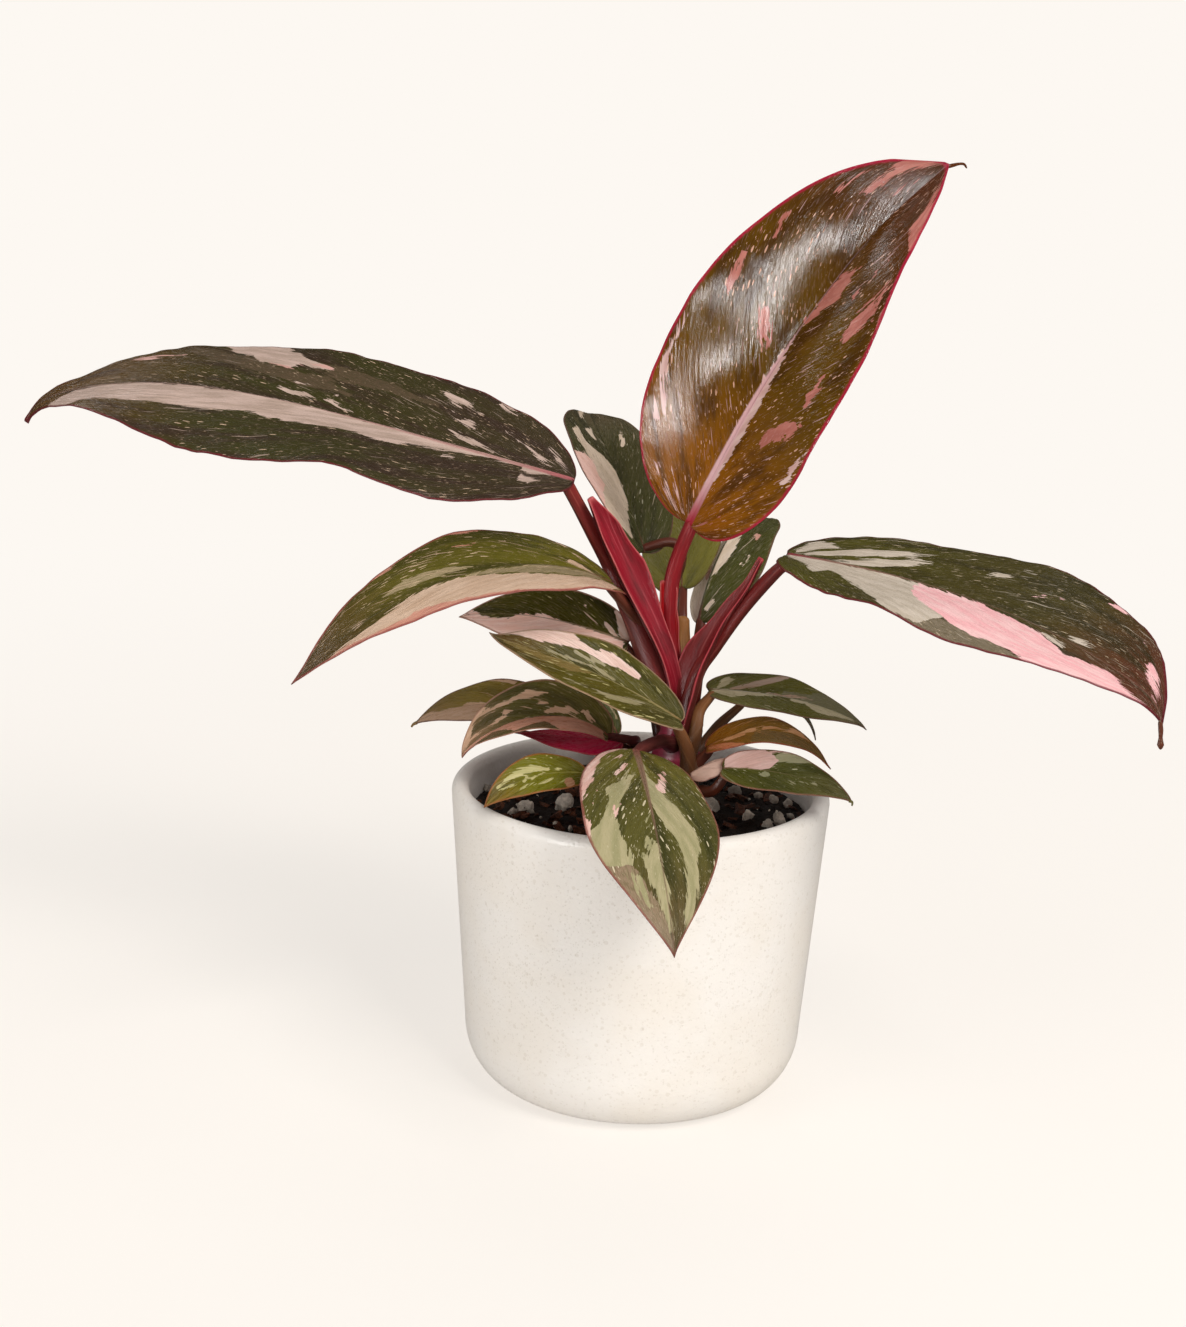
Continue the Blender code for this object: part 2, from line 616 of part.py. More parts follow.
def sheath_mesh(name, sheath, collection):
    rows = SHEATH_ROWS * (len(sheath.points) - 1)
    shape = bmesh.new()
    bmesh.ops.create_grid(shape, x_segments=rows, y_segments=SHEATH_COLUMNS, size=1)
    shares = np.array([vert.co.x / 2 + 0.5 for vert in shape.verts])
    bends = np.radians([vert.co.y * sheath.bend for vert in shape.verts])
    places = smooth_path(sheath.points, shares)
    step = 0.01
    ahead = smooth_path(sheath.points, np.minimum(shares + step, 1))
    behind = smooth_path(sheath.points, np.maximum(shares - step, 0))
    along = (ahead - behind) / np.linalg.norm(ahead - behind, axis=1)[:, None]
    opening = np.array(sheath.opening) - along * (along @ np.array(sheath.opening))[:, None]
    opening /= np.linalg.norm(opening, axis=1)[:, None]
    side = np.cross(along, opening)
    knots = np.linspace(0, 1, len(sheath.half_widths))
    radius = np.interp(shares, knots, sheath.half_widths) / math.sin(math.radians(sheath.bend))
    reach = (radius * (1 - np.cos(bends)))[:, None]
    spread = (radius * np.sin(bends))[:, None]
    for vert, place in zip(shape.verts, places + opening * reach + side * spread):
        vert.co = Vector(place) * MM
    bmesh.ops.triangulate(shape, faces=shape.faces)
    obj = object_from_bmesh(name, shape, collection)
    solidify = obj.modifiers.new("sheet", "SOLIDIFY")
    solidify.thickness = SHEATH_THICKNESS
    solidify.offset = 0
    return frozen(obj)


def stem_mesh(shoot, collection):
    """The stem's round foot in the soil and its taper up to the crown."""
    foot = [c * MM for c in shoot.foot]
    low = SOIL_EDGE_HEIGHT - STEM_DEPTH
    neck = SOIL_EDGE_HEIGHT + STEM_NECK
    profile = (
        (low, shoot.foot_radius * MM),
        (neck, shoot.foot_radius * MM),
        ((neck + shoot.crown_height * MM) / 2, max(shoot.foot_radius, shoot.crown_radius) * MM),
        (shoot.crown_height * MM, shoot.crown_radius * MM * CROWN_TAPER),
    )
    shape = bmesh.new()
    rings = []
    for z, radius in profile:
        circle = bmesh.ops.create_circle(shape, segments=STEM_SIDES, radius=radius)["verts"]
        for vert in circle:
            vert.co += Vector((*foot, z))
        rings.append(circle)
    for lower, upper in zip(rings, rings[1:]):
        edges = {edge for vert in lower + upper for edge in vert.link_edges
                 if all(v in lower or v in upper for v in edge.verts)}
        bmesh.ops.bridge_loops(shape, edges=list(edges))
    shape.faces.new(rings[0])
    shape.faces.new(rings[-1])
    bmesh.ops.recalc_face_normals(shape, faces=shape.faces)
    return object_from_bmesh(shoot.name, shape, collection)


def build_shoot(shoot, collection, helpers):
    stem = stem_mesh(shoot, collection)
    pieces = [stalk_mesh(f"stalk_{i}", stalk, collection) for i, stalk in enumerate(shoot.stalks)]
    pieces += [sheath_mesh(f"sheath_{i}", sheath, collection) for i, sheath in enumerate(shoot.sheaths)]
    join(stem, pieces, helpers)
    keep_outer_shell(stem)
    stem.data.shade_smooth()
    stem.data.set_sharp_from_angle(angle=math.radians(50))
    stem.data.materials.clear()
    stem.data.materials.append(principled(shoot.name, shoot.colour, 0.4))
    return stem


def main():
    clear_scene()
    plant = new_collection("pink_princess_philodendron")
    helpers = new_collection("joined_pieces")
    build_pot(plant)
    build_soil(plant, helpers)
    for shoot in SHOOTS:
        build_shoot(shoot, plant, helpers)
    for leaf in LEAVES:
        build_leaf(leaf, plant)


main()
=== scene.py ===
"""The looks of a young pink princess philodendron standing in its off-white pot.

The CAD frame is in metres, +Z up, with its origin at the centre of the pot's underside, and
the plant is seen from -Y. The tables of leaves, stalks and sheaths are in millimetres, as
they are in the part's source, and colours are 8-bit tones that tone() makes linear.
"""

import math
import random
from contextlib import contextmanager
from dataclasses import dataclass

import bpy
import numpy as np
from bpy.props import FloatProperty, FloatVectorProperty, IntProperty, PointerProperty
from mathutils import Euler, Matrix, Vector, noise


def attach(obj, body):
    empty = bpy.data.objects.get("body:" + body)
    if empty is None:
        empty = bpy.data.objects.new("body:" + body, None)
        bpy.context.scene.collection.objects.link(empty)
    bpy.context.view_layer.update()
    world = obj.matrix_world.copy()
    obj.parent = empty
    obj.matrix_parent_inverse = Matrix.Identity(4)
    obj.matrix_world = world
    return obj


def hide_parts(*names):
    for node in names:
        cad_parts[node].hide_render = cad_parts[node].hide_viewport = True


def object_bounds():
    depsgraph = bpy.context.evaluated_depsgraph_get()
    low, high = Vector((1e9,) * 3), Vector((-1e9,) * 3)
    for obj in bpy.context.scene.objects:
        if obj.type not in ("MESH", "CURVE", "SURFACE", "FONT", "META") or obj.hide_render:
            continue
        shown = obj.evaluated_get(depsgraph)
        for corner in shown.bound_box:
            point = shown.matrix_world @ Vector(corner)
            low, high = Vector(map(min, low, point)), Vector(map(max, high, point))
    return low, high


bl_info = {
    "name": "Pink princess philodendron",
    "version": (1, 0, 0),
    "blender": (4, 5, 0),
    "location": "View3D > Sidebar > Philodendron",
    "description": "Dresses the plant's CAD frame with its pot, soil, shoots and leaves",
    "category": "Object",
}

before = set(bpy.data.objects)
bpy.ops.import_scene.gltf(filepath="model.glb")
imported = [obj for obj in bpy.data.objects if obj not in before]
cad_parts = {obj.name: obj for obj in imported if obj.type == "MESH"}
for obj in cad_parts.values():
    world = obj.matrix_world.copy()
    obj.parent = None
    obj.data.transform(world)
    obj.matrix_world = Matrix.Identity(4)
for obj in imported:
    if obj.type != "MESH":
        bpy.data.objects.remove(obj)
CAD_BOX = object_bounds()

MM = 0.001

# Blades, as in the part's source
BLADE_ROUNDNESS = 2.2
BLADE_FULLNESS = 0.55
LOBE_REACH = 0.05
MARGIN_LAG = 1.3
MARGIN_WAVES = 2.5
HOOK_START = 0.9
HOOK_POWER = 1.5
RIB_STEPS = 100

# Where the rows and columns of a blade's grid lie
END_CROWDING = 0.55
LARGE_COLUMNS = (0, 0.012, 0.03, 0.06, 0.1, 0.16, 0.24, 0.33, 0.43, 0.54, 0.65, 0.75, 0.84, 0.91,
                 0.96, 0.99, 1)
SMALL_COLUMNS = (0, 0.025, 0.07, 0.14, 0.24, 0.36, 0.5, 0.64, 0.77, 0.88, 0.96, 1)
LARGE_LEAF = 40  # mm, the length from which a leaf gets the finer grid
ROW_SPACING = 0.85  # mm

# Stalks and stems
STALK_CROWDING = 0.75
STEM_FOOT = 57.4 - 8.5
STEM_NECK = 59.9


@dataclass(frozen=True)
class Leaf:
    """One blade, with the same meaning and values as in the part's source."""

    name: str
    base: tuple
    heading: float
    pitch: float
    length: float
    width: float
    sweep: float = 0
    droop: float = 40
    late: float = 1.4
    roll: float = 0
    twist: float = 0
    fold: float = 12
    camber: float = 0.10
    widest: float = 0.36
    full: float = 1.9
    taper: float = 1.1
    lobe: float = 0.04
    hook: float = 0
    wave: float = 0.03
    vein_run: float = 2.0
    right_lobe: float = 1
    bulge: float = 0
    buckle: float = 1
    pleats: float = 1
    domes: tuple = ()
    lift_left: tuple = ((0, 0),)
    lift_right: tuple = ((0, 0),)
    tail: tuple = ()
    tail_radii: tuple = ()


LEAVES = (
    Leaf("leaf_top_bronze", (7.9, 2, 118.2), heading=-36, pitch=63, length=94.5, width=43.5,
         sweep=-9, droop=27, late=1.6, roll=92, twist=-3, fold=22, camber=0, full=2.2, taper=0.8,
         lobe=0.01, hook=-4, vein_run=1.7, bulge=0.05, buckle=0.45, pleats=0.1,
         tail_radii=(0.4, 0.34, 0.26, 0.24, 0.15),
         domes=((0.355, 0.4, 1.1, 9), (0.715, 0.34, 1, 10.5), (0.8, -0.47, 0.9, 9)),
         tail=((-0.4, 0, -0.5), (0.9, 0.8, -0.2), (1.9, 1.6, 0), (2.9, 2.2, -0.05),
               (3.5, 2.3, -0.8))),
    Leaf("leaf_long_left", (-16, 2, 125.9), heading=177, pitch=13, length=125, width=47.5,
         sweep=-19, droop=41, late=3, roll=-19, fold=9, camber=0.11, widest=0.39, full=2.3,
         taper=1.2, lobe=0.01, hook=31, wave=0.06, vein_run=3,
         lift_left=((0, 0.5), (0.04, 0.9), (0.08, -0.5), (0.12, -1), (0.16, -1.6), (0.2, -1.2),
                    (0.24, 0.3), (0.28, 2.2), (0.32, 3.5), (0.36, 3), (0.4, 0.9), (0.44, -1.2),
                    (0.48, -2.8), (0.53, -3.8), (0.57, -3.5), (0.61, -2.7), (0.65, -1.5),
                    (0.69, -0.5), (0.73, 0.2), (0.81, 0.2), (0.86, -0.3), (0.93, -1.1), (1, -0.8)),
         lift_right=((0.02, 0), (0.08, 1.2), (0.13, 2), (0.2, 2.5), (0.26, 2.4), (0.31, 0.7),
                     (0.37, -0.6), (0.42, -1), (0.47, -0.7), (0.52, 0.2), (0.6, 0.4), (0.7, 0),
                     (0.78, -0.5), (0.86, -0.2), (0.93, 0.8), (1, 0.5))),
    Leaf("leaf_long_right", (27.5, 0, 112.8), heading=-34, pitch=0, length=97, width=46.5,
         sweep=-28, droop=16, late=1.6, roll=5, fold=10, camber=0.07, widest=0.5, full=2.1,
         taper=1.3, hook=53, vein_run=3, right_lobe=0.2, buckle=0.5,
         tail_radii=(0.4, 0.45, 0.36, 0.62, 0.2),
         lift_left=((0, 0), (0.3, 0), (0.45, -0.8), (0.6, -1.5), (0.7, -1.1), (0.8, 0), (0.9, 0.6),
                    (1, 0)),
         tail=((-0.5, 0, 1.3), (-0.2, 0, -0.5), (-0.1, 0, -1.9), (0, 0, -3.2), (0.1, 0, -4.1))),
    Leaf("leaf_mid_left", (-7.3, -3, 106), heading=216, pitch=30, length=77, width=28.5, sweep=-1,
         droop=71, late=0.8, roll=-16, twist=8, fold=13, camber=0.09, widest=0.34, full=1.7,
         lobe=0.03, hook=-6, vein_run=3),
    Leaf("leaf_front", (-1.4, -22, 77.3), heading=-84, pitch=0, length=58.5, width=26.5, sweep=8,
         droop=53, late=1.2, roll=-7, twist=-4, fold=3, camber=0.15, widest=0.48, taper=1.2,
         lobe=0.03, hook=7),
    Leaf("leaf_rear_left", (-1.5, 14, 109.5), heading=125, pitch=57, length=51, width=24,
         sweep=-30, droop=62, late=1.1, roll=16, twist=-9, fold=20, camber=0.07, full=1.95,
         taper=1, lobe=0.03),
    Leaf("leaf_rear", (7.2, 22, 100.3), heading=90, pitch=39, length=48, width=20.5, sweep=-2,
         droop=45, roll=-29, fold=11),
    Leaf("leaf_rear_right", (10.9, 16, 94.6), heading=65, pitch=65, length=48.5, width=21.5,
         sweep=9, droop=103, late=1.1, roll=-28, twist=-4, fold=-9, camber=0.22, full=1.7,
         lobe=0.01),
    Leaf("leaf_low_left", (-3.8, 6, 92), heading=174, pitch=18, length=36.5, width=16, sweep=-5,
         droop=31, late=1.3, roll=-45, twist=-3, fold=9, camber=0.11, lobe=0.03),
    Leaf("leaf_striped_left", (7.3, -14, 81.2), heading=192, pitch=34, length=43, width=18,
         sweep=-4, droop=19, late=1, roll=-25, twist=-15, fold=16, camber=0.07, widest=0.39,
         hook=-30, vein_run=2.6),
    Leaf("leaf_curled_left", (-7.2, -6, 75), heading=189, pitch=50.5, length=33.5, width=16,
         sweep=-9, droop=100, late=0.7, roll=-34, twist=14, fold=27, camber=0, widest=0.5,
         taper=0.9, lobe=0.02, hook=16, vein_run=2.6),
    Leaf("leaf_outer_left", (-17.2, 10, 74.7), heading=176, pitch=11, length=32.5, width=13.5,
         droop=45, late=1.5, roll=-30, fold=16, camber=0.07, lobe=0.05, tail_radii=(0.4, 0.3, 0.2),
         tail=((0.8, 0, 0.5), (0, 0, 0.1), (-0.5, 0, -0.6))),
    Leaf("leaf_small_left", (-11, -18, 70.7), heading=208, pitch=10, length=24, width=10.5,
         sweep=8, droop=51, late=1.6, roll=-25, twist=-9, fold=15, camber=0.06),
    Leaf("leaf_hooked_left", (-9, 13, 66), heading=172, pitch=13, length=24, width=9, droop=11,
         roll=10, hook=-70),
    Leaf("leaf_wine_left", (-4.4, -2, 73.2), heading=189, pitch=3, length=21.5, width=10.5,
         sweep=3, droop=-6, roll=-17, twist=7, fold=4, camber=0.14),
    Leaf("leaf_striped_small", (-5.6, 6, 72.4), heading=165, pitch=63, length=14, width=6.5,
         droop=52, roll=-26),
    Leaf("leaf_upper_right", (13.3, 4, 83), heading=4, pitch=-1, length=34.5, width=14.5, droop=27,
         roll=14, twist=13, fold=13, camber=0.09, full=1.8, taper=1.2, hook=21),
    Leaf("leaf_amber_right", (13.2, -8, 74.1), heading=-7, pitch=35, length=28, width=11.5,
         sweep=5, droop=91, late=1.2, roll=15, twist=-4, fold=14, camber=0.09, full=1.7, taper=1.2,
         hook=-7),
    Leaf("leaf_small_right", (16.1, -18, 73), heading=-10, pitch=4, length=27, width=11.5,
         sweep=-2, droop=32, late=1.5, roll=30, fold=13, camber=0.09, hook=20,
         tail_radii=(0.35, 0.25, 0.15),
         tail=((-0.8, 0, 0.5), (-0.1, 0, 0.2), (-0.1, 0, -0.6))),
    Leaf("leaf_cupped_right", (10, -14.2, 70.4), heading=-6, pitch=36, length=9.5, width=7.5,
         droop=25, roll=10, fold=0, camber=0.35, widest=0.45),
    Leaf("leaf_back_right", (20, 14, 78), heading=12, pitch=11, length=21.5, width=9, droop=91,
         roll=10),
)


@dataclass(frozen=True)
class Look:
    """The colours and markings of one leaf.

    ground holds the blade's own tone near its base, at its middle and at its tip. A patch is
    a run of (place along the length, lower edge, upper edge) in hundredths. The edges are
    hundredths of the half width, below zero on the leaf's right side and above on its left.
    """

    slot: str
    ground: tuple
    shade: tuple
    pale: tuple = ((160, 150, 120), (178, 165, 138))
    pink: tuple = ((200, 128, 118), (222, 150, 142))
    fleck: tuple = (205, 180, 150)
    rib: tuple = (150, 110, 90)
    rib_foot: tuple = (150, 60, 70)
    margin: tuple = (120, 60, 50)
    under: tuple = (92, 50, 40)
    rib_width: tuple = (0.3, 0.1)
    rib_glow: float = 0.4
    margin_width: float = 0.3
    flecks: float = 0.3
    dots: float = 0.3
    streaks: float = 0.4
    gloss: float = 0
    relief: float = 1
    fine: float = 1
    slim: float = 0
    mid: tuple = ()
    mid_tone: tuple = (104, 96, 80)
    pale_patches: tuple = ()
    pink_patches: tuple = ()


LOOKS = {
    "leaf_top_bronze": Look(
        "bronze_leaf", ground=((148, 88, 6), (98, 68, 6), (84, 42, 16)), shade=(66, 38, 6),
        pale=((214, 172, 166), (232, 200, 194)), pink=((178, 106, 94), (194, 122, 110)),
        fleck=(224, 176, 150), rib=(226, 182, 186), rib_foot=(168, 30, 58), margin=(176, 28, 62),
        under=(110, 34, 30), rib_width=(1.15, 0.2), rib_glow=0.52, margin_width=0.6, flecks=0.5,
        dots=0.2, gloss=0.19, relief=0.55, fine=1.3, slim=0.25,
        pale_patches=(
            ((12, -10, 2), (20, -12, 5), (30, -12, 4), (38, -10, 3), (47, -4, 2), (52, -1, 1)),
            # Painted highlight: this thin pale streak along the curled left margin stands in for
            # the light that the margin catches.
            ((18, 78, 84), (25, 85, 92), (35, 90, 95), (45, 91, 95)),
            ((2, 50, 62), (6, 62, 76), (10, 74, 80)),
            ((2, 30, 36), (6, 38, 50), (11, 54, 60)),
            ((20, -88, -84), (26, -93, -86), (33, -95, -89), (38, -97, -94)),
            # Painted highlight: another thin pale streak along the curled left margin, where it
            # catches the light.
            ((18, 70, 74), (24, 76, 81), (30, 83, 86)),
        ),
        pink_patches=(
            ((23.5, -36, -34), (28, -46, -35), (31, -55, -37), (33, -63, -42), (35, -69, -50),
             (38, -75, -57), (40, -76, -70)),
            ((42, -63, -60), (44, -69, -60), (48, -72, -61), (53, -69, -66)),
            ((58, -63, -58), (62, -70, -56), (66, -78, -58), (70, -85, -64), (74, -89, -74),
             (80, -93, -86)),
            ((86, -95, -88), (87, -110, -68), (90, -110, -66), (96, -86, -62), (99, -75, -60)),
            ((66, -41, -38), (70, -48, -43), (76, -56, -49), (81, -65, -60)),
            ((0, -45, -35), (4, -50, -39), (8.5, -54, -50)),
            ((53, -3, 1), (60, -16, 0), (64, -26, 0), (67, -24, -3), (70, -24, -12),
             (74, -22, -17)),
            ((42, 12, 14), (46, 15, 28), (50, 24, 41), (54, 38, 45)),
            ((47, 66, 70), (50, 70, 79), (56, 76, 85), (60, 82, 88), (63, 88, 92)),
            ((63, 72, 75), (66, 74, 86), (69.5, 81, 88)),
            ((82, 50, 54), (84, 45, 60), (87, 45, 68), (90, 55, 76), (93, 58, 96), (96, 45, 110),
             (99, 40, 110)),
            ((87, 21, 23), (92, 24, 31), (98, 27, 35)),
            ((77, 68, 71), (80, 72, 80), (84, 80, 85), (88.5, 87, 90)),
            ((67, -110, -97), (72, -110, -94), (80, -110, -96)),
        ),
    ),
    "leaf_long_left": Look(
        "dark_leaf", ground=((62, 52, 32), (60, 57, 26), (96, 66, 20)), shade=(58, 42, 34),
        pale=((182, 158, 144), (204, 178, 166)), pink=((200, 152, 142), (214, 170, 160)),
        fleck=(206, 176, 150), rib=(190, 146, 138), rib_foot=(180, 100, 104), margin=(108, 34, 42),
        under=(84, 34, 38), rib_width=(0.8, 0.2), rib_glow=0.3, margin_width=0.4, flecks=0.4,
        dots=0.5, fine=1.25, mid_tone=(90, 74, 56),
        mid=(
            ((40, -36, -30), (45, -46, -30), (50, -48, -30), (56, -56, -36), (62, -70, -48),
             (68, -84, -64), (72, -90, -84)),
            ((25, -55, -50), (34, -66, -48), (44, -70, -54), (50, -66, -60)),
        ),
        pale_patches=(
            ((10, 0, 2), (20, 0, 11), (25, 0, 18), (30, 0, 26), (33, 0, 30), (35, 0, 26),
             (40, 0, 30), (46, 0, 35), (50, 0, 37), (52, 0, 32), (58, 0, 42), (65, 0, 47),
             (70, 0, 53), (76, 0, 58), (81, 0, 70), (84, 0, 82), (87, 10, 110), (89, 50, 110),
             (91, 90, 110)),
            ((14, -14, -12), (18, -20, -13), (22, -24, -19)),
            ((17, -38, -33), (19, -45, -35), (23, -52, -47)),
            ((18, -70, -64), (21, -79, -67), (24, -80, -68), (26.5, -80, -75)),
            ((2, -48, -40), (4, -62, -50), (6, -72, -66)),
            ((4, -26, -23), (6, -36, -26), (8, -43, -35), (10, -53, -48)),
            ((11, -53, -46), (13.5, -59, -53)),
            ((13, -93, -88), (16.5, -110, -92)),
            ((38, -12, -9), (41, -18, -11), (43.5, -20, -15)),
            ((42, -26, -24), (46, -31, -28), (50, -33, -31)),
            ((45, -14, -12), (49, -18, -15), (53, -20, -18)),
            ((44, -63, -60), (48, -70, -60), (51.5, -77, -60), (52, -79, -51), (55, -93, -57),
             (58, -110, -58), (60, -110, -70), (63, -110, -76), (66, -110, -95)),
            ((5.5, 35, 42), (7, 30, 56), (8.5, 26, 46)),
            ((4, 2, 6), (6.5, 2, 20), (8.5, 2, 13)),
            ((19, 22, 29), (21, 22, 32)),
            ((27, 30, 33), (32, 40, 43)),
        ),
        pink_patches=(
            ((71, -69, -64), (74, -76, -70), (77, -78, -66), (80.5, -82, -76)),
            ((44, -62, -60), (47, -67, -61), (52, -62, -53), (56, -66, -58)),
        ),
    ),
    "leaf_long_right": Look(
        "dark_leaf", ground=((86, 82, 22), (74, 66, 26), (96, 52, 36)), shade=(52, 46, 22),
        pale=((200, 186, 168), (216, 202, 186)), pink=((252, 186, 190), (255, 206, 206)),
        fleck=(198, 178, 150), rib=(150, 110, 96), margin=(112, 32, 44), under=(92, 34, 44),
        rib_width=(0.7, 0.2), rib_glow=0.25, margin_width=0.5, flecks=0.42, dots=0.5, fine=1.15,
        mid_tone=(132, 118, 98),
        mid=(
            ((44, -110, -86), (50, -110, -70), (55, -110, -70), (60, -110, -72), (66, -110, -76),
             (72, -110, -86), (76, -110, -98)),
        ),
        pale_patches=(
            ((0, -20, 0), (5, -35, 0), (10, -50, 0), (12, -62, 0), (14.5, -67, -2), (15, -38, -2),
             (20, -50, -2), (25, -60, -2), (30, -69, -2), (35, -80, -4), (40, -94, -20),
             (45, -98, -30), (50, -96, -40), (52, -93, -60)),
            ((2, 30, 60), (4, 40, 82), (6, 45, 84), (8, 52, 70), (9, 52, 60)),
            ((4, 15, 30), (10, 24, 48), (15, 33, 57), (20, 42, 62), (23, 50, 64), (26, 56, 66),
             (30, 60, 62)),
            ((10, 7, 10), (15, 9, 22), (20, 14, 33), (25, 27, 43), (29, 40, 45)),
            ((32, 65, 70), (34.5, 70, 76)),
            ((44, 72, 76), (47.5, 75, 79)),
            ((41, 48, 53), (45, 54, 59)),
            ((50.5, 79, 83), (53, 83, 88)),
            ((70, 5, 9), (73, 8, 16), (76.5, 17, 20)),
            ((66, -10, -6), (70, -16, -8), (73.5, -20, -15)),
        ),
        pink_patches=(
            ((33, -10, -5), (36, -30, -4), (40, -45, -3), (45, -55, -3), (50, -62, -4),
             (55, -71, -5), (60, -73, -7), (65, -77, -10), (70, -82, -18), (73, -88, -28),
             (76, -99, -36), (77.5, -110, -33), (80, -110, -26), (86, -110, -20),
             (87.5, -110, -28), (89, -110, -42), (92, -110, -66), (95, -110, -92)),
            ((86, 60, 72), (88, 50, 73), (90, 42, 70), (92, 35, 62), (94, 28, 50), (95, 30, 40)),
            ((52.5, 37, 41), (55, 42, 50), (58, 52, 55)),
            ((63, 90, 94), (65, 90, 100), (67, 94, 100)),
            ((79, 74, 79), (82, 77, 81)),
        ),
    ),
    "leaf_mid_left": Look(
        "olive_leaf", ground=((108, 102, 26), (94, 88, 30), (86, 62, 30)), shade=(62, 60, 24),
        pale=((206, 174, 148), (218, 188, 164)), pink=((196, 134, 116), (208, 148, 128)),
        fleck=(196, 172, 138), rib=(120, 104, 82), rib_foot=(126, 70, 60), margin=(150, 80, 74),
        under=(120, 86, 66), rib_width=(0.5, 0.15), rib_glow=0.2, margin_width=0.5, flecks=0.5,
        dots=0.45, streaks=0.7, fine=1.2, slim=0.4, mid_tone=(164, 146, 114),
        mid=(
            ((5, 0, 30), (10, 0, 46), (20, 0, 47), (30, 0, 36), (40, 0, 22), (47, 0, 8)),
            ((42, -14, -11), (48, -30, -12), (54, -40, -13), (60, -46, -18), (65, -43, -22),
             (69, -36, -28)),
        ),
        pale_patches=(
            ((5, 40, 80), (10, 44, 92), (15, 46, 110), (22, 47, 110), (24, 40, 110), (30, 35, 110),
             (35, 30, 110), (40, 20, 110), (45, 9, 110), (50, 1, 110), (58, 0, 90), (62, 2, 90),
             (65, 10, 95), (70, 18, 100), (75, 28, 110), (80, 38, 110), (85, 50, 110),
             (89, 66, 110), (92, 90, 110)),
            ((4, -6, -2), (8, -26, -5), (12, -42, -14), (14.5, -29, -22)),
            ((6, -40, -35), (10, -70, -56), (14, -105, -86)),
            ((50, -45, -42), (56, -58, -50), (62, -72, -64), (68, -79, -73)),
            ((32, -25, -22), (38, -38, -32), (44, -56, -50), (50, -74, -69), (54, -86, -82)),
            ((20, -41, -37), (25, -57, -50), (30, -74, -62), (34, -84, -78)),
            ((62, -20, -17), (70, -19, -16)),
            ((66, -9, -6), (82, -7, -4)),
            ((82, -60, -56), (86, -77, -67), (91, -94, -86)),
            ((28, -50, -42), (30, -48, -40)),
        ),
        pink_patches=(
            ((34, -58, -55), (38, -68, -60), (42, -78, -64), (47.5, -82, -75)),
            ((33, -105, -94), (38, -110, -88), (44, -110, -93), (48, -110, -98)),
            ((53, -94, -86), (60, -110, -87), (66, -110, -92)),
            ((10, 90, 110), (25, 93, 110), (40, 93, 110), (52, 88, 110), (60, 74, 110),
             (66, 68, 110), (72, 74, 110), (80, 80, 110), (85, 62, 110), (90, 80, 110)),
            ((30, 40, 46), (36, 46, 53), (41, 50, 56)),
            ((55, 36, 44), (57.5, 36, 46)),
            ((74, -110, -97), (79, -110, -97)),
        ),
    ),
    "leaf_front": Look(
        "sage_leaf", ground=((110, 104, 40), (90, 86, 40), (98, 82, 50)), shade=(50, 52, 24),
        pale=((160, 154, 114), (180, 170, 132)), pink=((226, 180, 168), (236, 200, 190)),
        fleck=(216, 204, 172), rib=(132, 104, 84), rib_foot=(140, 84, 74), margin=(140, 84, 74),
        under=(112, 70, 56), rib_width=(0.75, 0.2), margin_width=0.4, flecks=0.5, dots=0.8,
        fine=1.2, mid_tone=(150, 128, 104),
        mid=(
            ((68, -110, -55), (74, -110, -45), (80, -110, -35), (90, -110, -20), (100, -110, 0)),
        ),
        pale_patches=(
            ((14, 0, 3), (25, 0, 9), (30, 0, 16), (35, 0, 25), (40, 0, 36), (45, 5, 46),
             (50, 13, 55), (55, 22, 63), (60, 31, 68), (65, 38, 64), (70, 45, 70), (75, 50, 73),
             (80, 52, 80), (83, 58, 84), (85, 52, 90), (88, 66, 100), (92, 85, 110)),
            ((19, -19, -15), (25, -28, -17), (30, -40, -24), (34, -60, -30), (38, -62, -38),
             (42, -62, -46), (48, -70, -52), (52, -76, -53), (55, -95, -53), (60, -110, -53),
             (66, -110, -52), (68, -110, -48)),
            ((58, -7, -3), (61, -12, 0), (64.5, -20, 0), (67, -30, 1), (70, -34, 2), (76, -30, 3),
             (84, -24, 3), (92, -16, 0)),
            ((72, -62, -48), (78, -70, -52), (84, -66, -56)),
            ((46, -14, -9), (53, -13, -10)),
            ((57, -20, -15), (62, -21, -17)),
            ((62, -38, -33), (66, -40, -35)),
        ),
        pink_patches=(
            ((19, 36, 44), (23, 26, 39), (26, 21, 37), (30, 17, 36), (33.5, 20, 32)),
            ((0, -90, -80), (5, -110, -76), (10, -110, -80), (15, -110, -78), (22, -110, -81),
             (30, -110, -82), (35, -110, -88), (42, -110, -95)),
            ((28, -71, -66), (31, -75, -65), (33.5, -72, -68)),
            ((33, -72, -69), (42, -83, -80), (44, -88, -80)),
            ((35, -98, -95), (44, -86, -82)),
            ((40, -50, -46), (44, -57, -45), (47, -60, -48), (50.5, -62, -57)),
            ((49, -110, -95), (55, -110, -90), (58, -110, -97)),
            ((8.5, -50, -40), (12, -56, -42)),
            ((11, -62, -53), (14.5, -66, -56)),
            ((16, -30, -24), (20, -41, -32), (25, -49, -45)),
        ),
    ),
    "leaf_rear_left": Look(
        "dark_leaf", ground=((76, 76, 38), (72, 68, 38), (96, 82, 60)), shade=(52, 50, 28),
        pale=((206, 184, 160), (220, 198, 176)), pink=((232, 184, 168), (240, 198, 186)),
        fleck=(170, 164, 140), rib=(96, 90, 64), rib_foot=(120, 70, 60), margin=(112, 80, 68),
        under=(96, 70, 54), rib_width=(0.35, 0.12), flecks=0.35,
        pale_patches=(
            ((6, 55, 72), (10, 40, 85), (14, 25, 110), (20, 10, 110), (25, 1, 110), (32, 0, 70),
